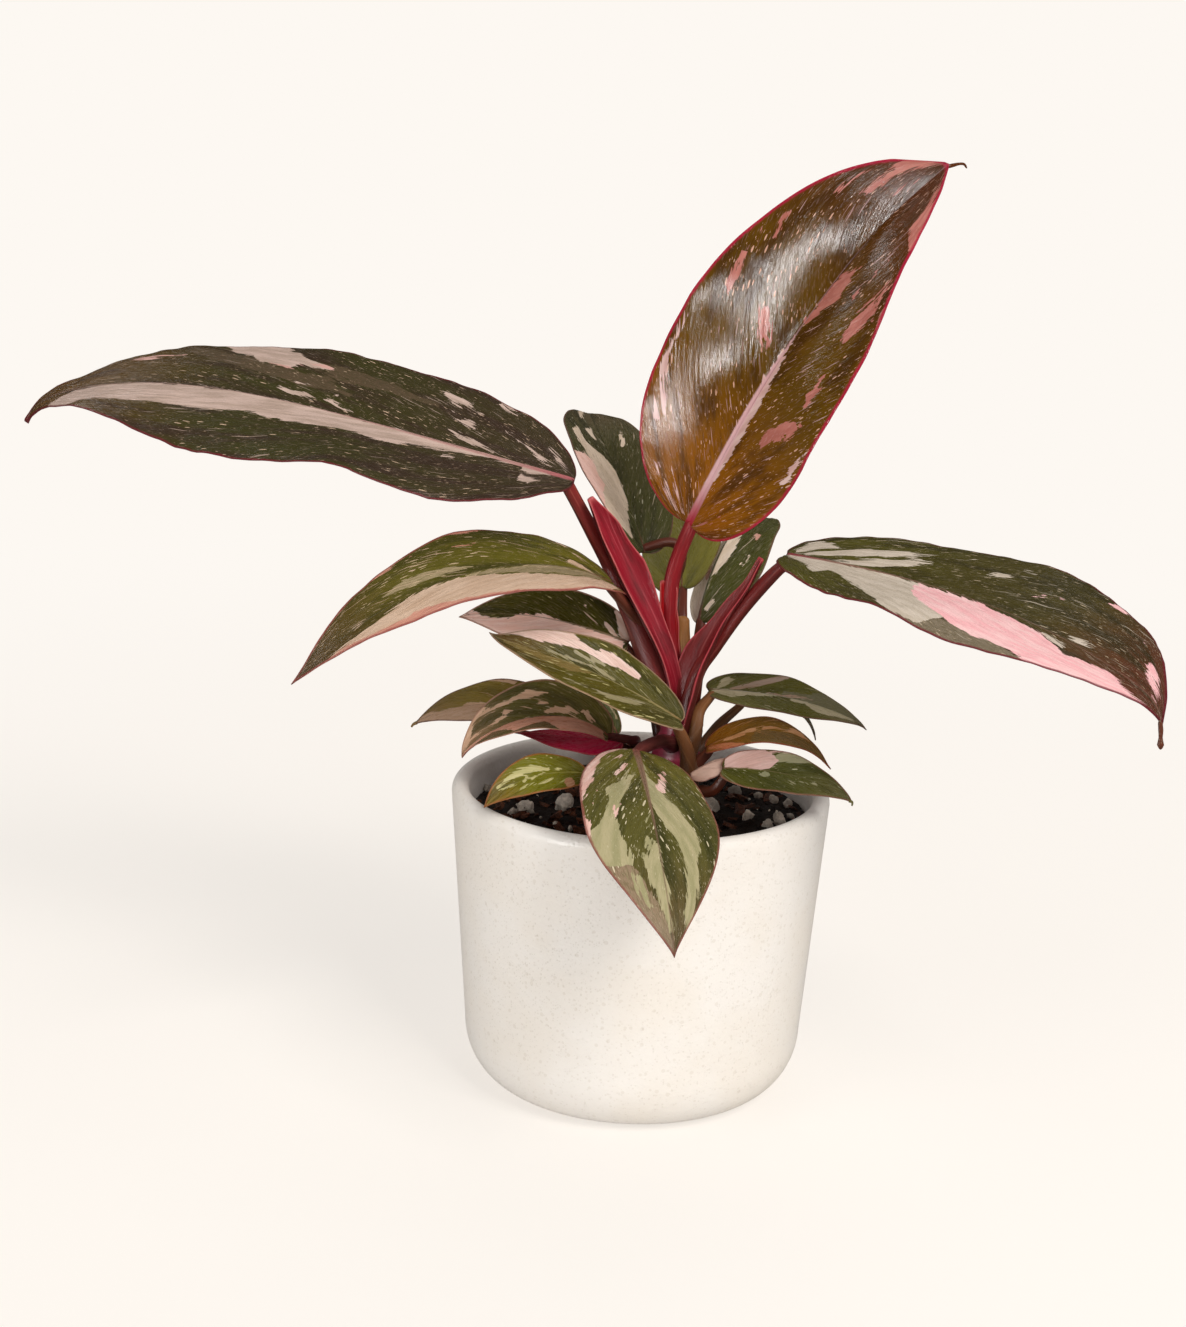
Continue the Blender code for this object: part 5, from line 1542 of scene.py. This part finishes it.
def sheath_piece(sheath, settings):
    """A channel with thin bright wings."""
    obj, flat = grid("sheath", 14 * (len(sheath.points) - 1), 28)
    s, across = flat[:, 0] / 2 + 0.5, flat[:, 1]
    bend = np.radians(across * sheath.bend)
    _, opening, side = path_frames(sheath.points, s, sheath.opening)
    width = np.interp(s, np.linspace(0, 1, len(sheath.half_widths)), sheath.half_widths)
    radius = width / math.sin(math.radians(sheath.bend))
    wave = 0.1 * np.sin(s * 23 + across) * np.abs(across) ** 3
    reach = radius * (1 - np.cos(bend)) * (1 + wave)
    spread = radius * np.sin(bend) * (1 + 0.4 * wave)
    places = smooth_path(sheath.points, s) + opening * reach[:, None] + side * spread[:, None]
    place_vertices(obj, places * MM)
    store(obj, "stalk", triples(s * path_length(sheath.points), bend * radius + 90))
    rim = np.clip(np.maximum((np.abs(across) - 0.93) / 0.07, (0.03 - s) / 0.03), 0, 1)
    store(obj, "side", triples(-1, rim))
    weigh(obj, np.clip(1 - 0.7 * np.abs(across) ** 3, 0.3, 1))
    count = len(obj.data.vertices)
    thicken(obj, settings.sheath_thickness)
    # The side that looks along the opening is the sheath's face.
    places = coordinates(obj)
    opened = np.array(sheath.opening, float)
    ahead = np.sum((places[:count] - places[count:2 * count]) @ opened) > 0
    restore(obj, "side", 0, 0, count, 1 if ahead else -1)
    restore(obj, "side", 0, count, 2 * count, -1 if ahead else 1)
    return grown(obj, sheath.finish)


def stem_piece(shoot):
    """The lumpy stem from its foot in the soil up to the crown."""
    foot, crown, top = shoot.foot_radius, shoot.crown_radius, shoot.crown_height
    obj, s, angle = tube("stem", 48, 36)
    height = STEM_FOOT + (top - STEM_FOOT) * s
    radius = np.interp(height, (STEM_FOOT, STEM_NECK, (STEM_NECK + top) / 2, top),
                       (foot, foot, max(foot, crown), crown * 0.6))
    rings = 1 + 0.03 * np.sin(height * 1.9) + 0.04 * np.sin(2 * angle + height * 0.4)
    radius = radius * rounded_ends(s, 0.06, 0.12) * rings * 0.98
    x, y = shoot.foot
    places = triples(x + radius * np.cos(angle), y + radius * np.sin(angle), height)
    place_vertices(obj, places * MM)
    store(obj, "stalk", triples(height * 3, angle * foot))
    store(obj, "side", triples(0.4 * np.sin(angle * 2 + height), 0))
    return grown(obj, shoot.slot)


def grown(obj, finish):
    weld(obj, 0.003 * MM)
    outward(obj)
    obj.data.materials.append(bpy.data.materials[finish])
    return obj


def arc(centre, reach, rise, start, end, count):
    """Points of an elliptical arc in the profile plane, from start to end degrees."""
    for i in range(count + 1):
        angle = math.radians(start + (end - start) * i / count)
        yield centre[0] + reach * math.cos(angle), centre[1] + rise * math.sin(angle)


def inner_radius(pot, z):
    """The radius of the pot's inner wall, in millimetres, at a height in millimetres."""
    top = pot.height / MM - LIP_RISE
    share = (top - z) / (top - WAIST_HEIGHT)
    rim = pot.rim_radius / MM
    return rim + (WAIST_RADIUS - rim) * share - pot.wall / MM


def extrude(rise):
    """Extrudes what is selected straight up, by a rise in millimetres."""
    bpy.ops.mesh.extrude_region_move(TRANSFORM_OT_translate={"value": (0, 0, rise * MM)})


def turned(name, profile):
    """A body turned about Z from a closed profile that starts and ends on the axis."""
    deselect()
    radius, height = profile[1]
    bpy.ops.mesh.primitive_circle_add(vertices=TURN_STEPS, radius=radius * MM, fill_type="NOTHING",
                                      location=(0, 0, height * MM))
    obj = bpy.context.object
    obj.name = obj.data.name = name
    bpy.ops.object.transform_apply(location=True, rotation=False, scale=False)
    with editing(obj):
        for (r0, z0), (r1, z1) in zip(profile[1:-1], profile[2:-1]):
            extrude(z1 - z0)
            bpy.ops.transform.resize(value=(r1 / r0, r1 / r0, 1), center_override=(0, 0, z1 * MM))
        # The last ring is still selected; then the first is the only open edge.
        extrude(profile[-1][1] - profile[-2][1])
        bpy.ops.mesh.merge(type="CENTER")
        bpy.ops.mesh.select_all(action="DESELECT")
        bpy.ops.mesh.select_non_manifold()
        extrude(profile[0][1] - profile[1][1])
        bpy.ops.mesh.merge(type="CENTER")
    outward(obj)
    return obj


def pot_profile(pot):
    """(radius, height) in millimetres from the inner floor over the lip and down to the foot."""
    rim, wall, floor = pot.rim_radius / MM, pot.wall / MM, pot.floor / MM
    shoulder = pot.height / MM - LIP_RISE
    inner_top = floor + INNER_CORNER
    centre = (inner_radius(pot, inner_top) - INNER_CORNER, inner_top)
    profile = [(0, floor), (4, floor), (14, floor)]
    profile += arc(centre, INNER_CORNER, INNER_CORNER, -90, 0, 10)
    profile += [(inner_radius(pot, z), z) for z in np.linspace(inner_top, shoulder, 14)[1:-1]]
    profile += arc((rim - wall / 2, shoulder), wall / 2, LIP_RISE, 180, 0, 18)
    for z in np.linspace(shoulder, WAIST_HEIGHT, 22)[1:-1]:
        share = (shoulder - z) / (shoulder - WAIST_HEIGHT)
        profile.append((rim + (WAIST_RADIUS - rim) * share, z))
    corner = (WAIST_RADIUS - CORNER_REACH, WAIST_HEIGHT)
    profile += arc(corner, CORNER_REACH, WAIST_HEIGHT, 0, -84, 20)
    return profile + list(FOOT_PROFILE)


def soil_edge(soil, pot):
    return inner_radius(pot, soil.edge_height / MM) - CLEARANCE


def soil_height(soil, pot, radius):
    fall = (radius / soil_edge(soil, pot)) ** 2
    return soil.edge_height / MM + soil.mound / MM * (1 - fall)


# ---------------------------------------------------------------- operators


class PLANT_OT_pot(bpy.types.Operator):
    """Build the turned pot with its satin glaze"""

    bl_idname = "plant.pot"
    bl_label = "Pot"

    def execute(self, context):
        pot = context.scene.plant_pot
        obj = turned("pot_body", pot_profile(pot))
        material, tree, shader = new_material("pot_glaze")
        place = tree.object_place()
        fine = tree.group("fine_grain", place=place, grain=2.2)
        coarse = tree.group("fine_grain", place=place, grain=0.9)
        warm = (*(c * k for c, k in zip(pot.glaze, (0.97, 0.95, 0.92))), 1)
        colour = tree.mix(tree.step(fine["Cloud"], 0.35, 0.7), opaque(pot.glaze), warm)
        for grains, share in ((fine["Grains"], 0.14), (coarse["Grains"], 0.16)):
            colour = tree.mix(tree.times(grains, share), colour, opaque(pot.speckle))
        # Painted shade on the inner wall: a band between the soil and the lip, darkest near the
        # soil and fading out below the lip
        level = tree.times_plus(fine["Lumps"], 1.6 * MM, tree.split(place)[2])
        reach = tree.length(tree.scaled(place, 1, 1, 0))
        start, end = pot.rim_radius - pot.wall * 0.6, pot.rim_radius - pot.wall * 0.5
        inner = tree.step(reach, start, end, 1, 0)
        shaded = tree.step(level, pot.height - 4.5 * MM, pot.height - 2.2 * MM, 0.2, 0)
        above = tree.step(level, pot.height - 14 * MM, pot.height - 12 * MM)
        shaded = tree.times(inner, tree.times(shaded, above))
        colour = tree.mix(shaded, colour, opaque(pot.stain))
        rough = tree.step(fine["Cloud"], 0.3, 0.7, 0.34, 0.46)
        height = tree.times_plus(fine["Grains"], -0.5, fine["Lumps"])
        finish_shader(tree, shader, colour, rough, height, 0.00012)
        shader.inputs["Coat Weight"].default_value = 0.12
        shader.inputs["Coat Roughness"].default_value = 0.3
        obj.data.materials.append(material)
        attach(obj, "root")
        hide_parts("pot")
        return {"FINISHED"}


class PLANT_OT_soil(bpy.types.Operator):
    """Build the soil with its bark chips, crumbs and perlite"""

    bl_idname = "plant.soil"
    bl_label = "Soil"

    def execute(self, context):
        soil, pot = context.scene.plant_soil, context.scene.plant_pot
        draw = random.Random(11)
        self.make_materials(soil)
        pieces = [self.bed(soil, pot)]
        for name, make, number, sizes, finish, sunk in (
            ("bark_chips", self.chip_shapes, soil.chips, (0.8, 2.3), "soil_bark", 0.25),
            ("soil_crumbs", self.crumb_shapes, soil.crumbs, (0.35, 0.95), "soil_earth", 0.35),
            ("perlite_bits", self.crumb_shapes, PERLITE_BITS, (0.2, 0.6), "soil_perlite", 0.4),
        ):
            copies = self.strewn(make(draw), number, sizes, soil, pot, draw, sunk)
            pieces.append(joined(copies, name))
            pieces[-1].data.materials.append(bpy.data.materials[finish])
        pieces.append(self.pebbles(soil, pot, draw))
        for piece in pieces:
            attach(piece, "root")
            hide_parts("soil")
        return {"FINISHED"}

    def bed(self, soil, pot):
        """The lumpy top of the soil, closed below."""
        edge = soil_edge(soil, pot)
        bed, flat = grid("soil_bed", SOIL_GRID, SOIL_GRID)
        x, y = flat[:, 0], flat[:, 1]
        across = x * np.sqrt(1 - y**2 / 2) * edge
        deep = y * np.sqrt(1 - x**2 / 2) * edge
        radius = np.hypot(across, deep)
        where = triples(across, deep)
        lumps = scattered(where, 0.35, 3) * 0.75 + scattered(where, 0.9, 9) * 0.45
        lumps = (lumps - 0.25) * np.clip((edge - radius) / 2 + 0.3, 0, 1)
        place_vertices(bed, triples(across, deep, soil_height(soil, pot, radius) + lumps) * MM)
        with editing(bed):
            bpy.ops.mesh.region_to_loop()
            extrude(-10)
            bpy.ops.transform.resize(value=(0.97, 0.97, 0), center_override=(0, 0, 46 * MM))
            bpy.ops.mesh.edge_face_add()
            bpy.ops.mesh.quads_convert_to_tris()
        outward(bed)
        bed.data.materials.append(bpy.data.materials["soil_earth"])
        return bed

    def make_materials(self, soil):
        for name, rgb, spread, rough in (
            ("soil_earth", soil.earth, (0.35, 1.7), 0.85),
            ("soil_bark", soil.bark, (0.35, 1.5), 0.75),
            ("soil_perlite", soil.perlite, (0.45, 0.9), 0.8),
            ("soil_pebble", soil.perlite, (0.5, 1.1), 0.8),
        ):
            _, tree, shader = new_material(name)
            place = tree.object_place()
            lumps = tree.group("fine_grain", place=place, grain=1.4)["Lumps"]
            patch = tree.noise(tree.scaled(place, 420, 420, 420), detail=4, roughness=0.7,
                               dimensions="3D")
            low, high = (opaque(rgb, scale) for scale in spread)
            colour = tree.mix(tree.step(patch, 0.32, 0.68), low, high)
            # Painted shade: the colour darkens towards the low tone in the hollows of the lumps
            # that the bump raises.
            colour = tree.mix(tree.step(lumps, 0.35, 0.6, 0.5, 0), colour, low)
            if name == "soil_pebble":
                colour = tree.mix(tree.attribute("tint", "Fac"), opaque(rgb, 0.12), colour)
            finish_shader(tree, shader, colour, tree.step(patch, 0.3, 0.7, rough - 0.15, rough),
                          lumps, 0.0004)

    def chip_shapes(self, draw):
        """Flat, splintered chips with a few dozen faces each."""
        shapes = []
        for _ in range(4):
            deselect()
            bpy.ops.mesh.primitive_cube_add(size=1)
            obj = bpy.context.object
            with editing(obj):
                bpy.ops.mesh.subdivide(number_cuts=1)
            for vert in obj.data.vertices:
                vert.co = Vector((
                    vert.co.x * draw.uniform(1.0, 1.9),
                    vert.co.y * draw.uniform(0.5, 1.1),
                    vert.co.z * draw.uniform(0.25, 0.6),
                )) + Vector([draw.uniform(-0.12, 0.12) for _ in range(3)])
            shapes.append(obj)
        return shapes

    def crumb_shapes(self, draw):
        """Lumpy crumbs of 20 faces."""
        shapes = []
        for _ in range(4):
            deselect()
            bpy.ops.mesh.primitive_ico_sphere_add(subdivisions=1, radius=0.6)
            obj = bpy.context.object
            for vert in obj.data.vertices:
                vert.co *= draw.uniform(0.7, 1.25)
            shapes.append(obj)
        return shapes

    def strewn(self, shapes, number, sizes, soil, pot, draw, sunk):
        """Copies of the shapes, lying about on the soil."""
        copies = []
        for index in range(number):
            size = sizes[0] + (sizes[1] - sizes[0]) * draw.random() ** 2
            radius = (soil_edge(soil, pot) - size * 1.1) * math.sqrt(draw.random())
            angle = draw.uniform(0, 2 * math.pi)
            shape = shapes[index % len(shapes)]
            copy = shape.copy()
            copy.data = shape.data.copy()
            turn = Euler((draw.uniform(-0.6, 0.6), draw.uniform(-0.6, 0.6),
                          draw.uniform(0, 2 * math.pi)))
            height = soil_height(soil, pot, radius) + size * (0.5 - sunk) * draw.uniform(0.4, 1)
            middle = Vector((radius * math.cos(angle), radius * math.sin(angle), height)) * MM
            copy.data.transform(Matrix.LocRotScale(middle, turn, Vector((size, size, size)) * MM))
            put(copy)
            copies.append(copy)
        for shape in shapes:
            bpy.data.objects.remove(shape)
        return copies

    def pebbles(self, soil, pot, draw):
        """The larger perlite grains and the flat pale flake, each where it is seen."""
        made = []
        for pebble in (*PEBBLES, FLAKE):
            x, y, size, tint = pebble
            flake = pebble == FLAKE
            deselect()
            bpy.ops.mesh.primitive_ico_sphere_add(subdivisions=3, radius=1)
            obj = bpy.context.object
            seed = draw.uniform(0, 90)
            for vert in obj.data.vertices:
                lump = noise.noise(vert.co * 1.5 + Vector((seed, 0, 0))) * 0.45
                lump += noise.noise(vert.co * 4 + Vector((seed, 5, 0))) * 0.2
                vert.co *= (1 + lump * (0.3 if flake else 1)) * 0.92
            store(obj, "tint", [tint] * len(obj.data.vertices), "FLOAT")
            flat = 0.2 if flake else draw.uniform(0.6, 0.85)
            turn = Euler((0.85, 0.25, 0.3) if flake else [draw.uniform(0, 3) for _ in range(3)])
            height = soil_height(soil, pot, math.hypot(x, y)) + size * (0.2 if flake else 0.4)
            obj.data.transform(Matrix.LocRotScale(
                Vector((x, y, height)) * MM, turn, Vector((size, size, size * flat)) * MM))
            bpy.ops.object.shade_smooth()
            made.append(obj)
        piece = joined(made, "perlite_pebbles")
        piece.data.materials.append(bpy.data.materials["soil_pebble"])
        return piece


class PLANT_OT_shoots(bpy.types.Operator):
    """Build the stems with their stalks and sheaths"""

    bl_idname = "plant.shoots"
    bl_label = "Shoots"

    def execute(self, context):
        settings = context.scene.plant_shoots
        for name, tones in STALK_FINISHES.items():
            stalk_material(name, tones, settings)
        for shoot in SHOOTS:
            pieces = [stem_piece(shoot)]
            pieces += [stalk_piece(stalk) for stalk in shoot.stalks]
            pieces += [sheath_piece(sheath, settings) for sheath in shoot.sheaths]
            piece = joined(pieces, shoot.name + "_grown")
            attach(piece, "root")
            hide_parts(shoot.name)
        return {"FINISHED"}


class PLANT_OT_leaves(bpy.types.Operator):
    """Build every leaf with its own variegation"""

    bl_idname = "plant.leaves"
    bl_label = "Leaves"

    def execute(self, context):
        settings = context.scene.plant_leaves
        for seed, leaf in enumerate(LEAVES):
            look = LOOKS[leaf.name]
            piece = build_leaf(leaf, look, seed, settings)
            piece.data.materials.append(leaf_material(leaf, look, settings))
            piece.name = piece.data.name = leaf.name + "_blade"
            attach(piece, "root")
            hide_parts(leaf.name)
        return {"FINISHED"}


class PLANT_OT_stage(bpy.types.Operator):
    """Set the pale floor, the soft lights and the camera"""

    bl_idname = "plant.stage"
    bl_label = "Stage"

    def execute(self, context):
        stage = context.scene.plant_stage
        self.floor(stage)
        self.lights(stage)
        self.camera(context)
        context.scene.view_settings.view_transform = "Standard"
        return {"FINISHED"}

    def floor(self, stage):
        """A floor that sweeps up behind the plant, and glows where the plant's shade ends."""
        obj, flat = grid("floor_sweep", 60, 2)
        run = flat[:, 0] / 2 + 0.5
        forward = FLOOR_FRONT + FLOOR_LENGTH * run
        bend = np.clip(forward - SWEEP_START, 0, SWEEP_REACH) / SWEEP_REACH
        rise = bend**2 * SWEEP_RISE + np.clip(forward - WALL_START, 0, 2) * WALL_SLOPE
        place_vertices(obj, triples(flat[:, 1] * FLOOR_HALF_WIDTH, forward, rise))
        bpy.ops.object.shade_smooth()
        material, tree, shader = new_material("floor_paper", 0)
        place = tree.object_place()
        glow = tree.step(tree.length(place), 0.1, 0.55, 0.55, 1)
        paper = tree.noise(place, scale=9, detail=3, dimensions="3D")
        paper = tree.mix(paper, opaque(stage.floor), opaque(stage.floor, 0.985))
        black = (0, 0, 0, 1)
        finish_shader(tree, shader, tree.mix(glow, paper, black))
        lit = tree.mix(glow, black, opaque(stage.floor))
        tree.tree.links.new(lit, shader.inputs["Emission Color"])
        shader.inputs["Emission Strength"].default_value = 1
        shader.inputs["Roughness"].default_value = 0.9
        obj.data.materials.append(material)
        obj.visible_glossy = False

    def lights(self, stage):
        crown = (0, 0, 0.1)
        for name, place, aim, size, power in (
            ("key_light", (0.62, -0.85, 1), crown, (0.6, 0.6), stage.key),
            ("fill_light", (-0.95, -0.75, 0.5), crown, (0.7, 0.9), stage.fill),
            ("back_light", (0.1, 0.9, 0.9), crown, (0.9, 0.5), stage.fill * 0.4),
            *((f"{name}_card", place, aim, (size, size), stage.cards * power)
              for name, place, aim, size, power in CARDS),
        ):
            light = bpy.data.lights.new(name, "AREA")
            light.shape = "RECTANGLE"
            light.size, light.size_y = size
            light.energy = power
            light.color = tone(WARM if name == "key_light" else WHITE)[:3]
            obj = bpy.data.objects.new(name, light)
            put(obj)
            obj.location = place
            turn = (Vector(aim) - Vector(place)).to_track_quat("-Z", "Y")
            obj.rotation_euler = turn.to_euler()
            obj.visible_camera = False
            obj.visible_glossy = name not in ("fill_light", "back_light")
            obj.visible_diffuse = not name.endswith("card")
        world = bpy.data.worlds.new("studio_air")
        world.use_nodes = True
        bpy.context.scene.world = world
        tree = Tree(world.node_tree)
        ray = tree.add("ShaderNodeLightPath").outputs
        seen = tree.mix(ray["Is Camera Ray"], (1, 0.985, 0.965, 1), opaque(stage.backdrop))
        strength = tree.blend(ray["Is Camera Ray"], stage.ambient, 1)
        strength = tree.blend(ray["Is Glossy Ray"], strength, stage.ambient * 0.07)
        background = world.node_tree.nodes["Background"]
        world.node_tree.links.new(seen, background.inputs["Color"])
        world.node_tree.links.new(strength, background.inputs["Strength"])

    def camera(self, context):
        data = bpy.data.cameras.new("camera")
        data.lens = CAMERA_LENS
        data.sensor_width = CAMERA_SENSOR
        data.clip_start = 0.01
        camera = bpy.data.objects.new("camera", data)
        put(camera)
        yaw, pitch, roll = (math.radians(a) for a in (CAMERA_YAW, CAMERA_PITCH, CAMERA_ROLL))
        forward = Vector((math.sin(yaw) * math.cos(pitch), math.cos(yaw) * math.cos(pitch),
                          -math.sin(pitch)))
        right = Vector((math.cos(yaw), -math.sin(yaw), 0))
        up = right.cross(forward)
        across = right * math.cos(roll) + up * math.sin(roll)
        upright = up * math.cos(roll) - right * math.sin(roll)
        turn = Matrix((across, upright, -forward)).transposed()
        camera.matrix_world = Matrix.Translation(CAMERA_PLACE) @ turn.to_4x4()
        context.scene.camera = camera


class PLANT_PT_panel(bpy.types.Panel):
    """Lists the plant's pieces and what a user would change on them."""

    bl_idname = "PLANT_PT_panel"
    bl_label = "Pink princess philodendron"
    bl_space_type = "VIEW_3D"
    bl_region_type = "UI"
    bl_category = "Philodendron"

    def draw(self, context):
        for operator, settings in STEPS:
            box = self.layout.box()
            box.operator(f"plant.{operator}")
            group = getattr(context.scene, f"plant_{operator}")
            for name in settings.__annotations__:
                box.prop(group, name)


STEPS = (
    ("pot", PotSettings),
    ("soil", SoilSettings),
    ("shoots", ShootSettings),
    ("leaves", LeafSettings),
    ("stage", StageSettings),
)
CLASSES = (
    PotSettings, SoilSettings, ShootSettings, LeafSettings, StageSettings, PLANT_OT_pot,
    PLANT_OT_soil, PLANT_OT_shoots, PLANT_OT_leaves, PLANT_OT_stage, PLANT_PT_panel,
)


def register():
    for item in CLASSES:
        bpy.utils.register_class(item)
    for name, settings in STEPS:
        setattr(bpy.types.Scene, f"plant_{name}", PointerProperty(type=settings))


def unregister():
    for name, _ in STEPS:
        delattr(bpy.types.Scene, f"plant_{name}")
    for item in reversed(CLASSES):
        bpy.utils.unregister_class(item)


def main():
    register()
    make_groups()
    for name, _ in STEPS:
        getattr(bpy.ops.plant, name)()


if __name__ == "__main__":
    main()
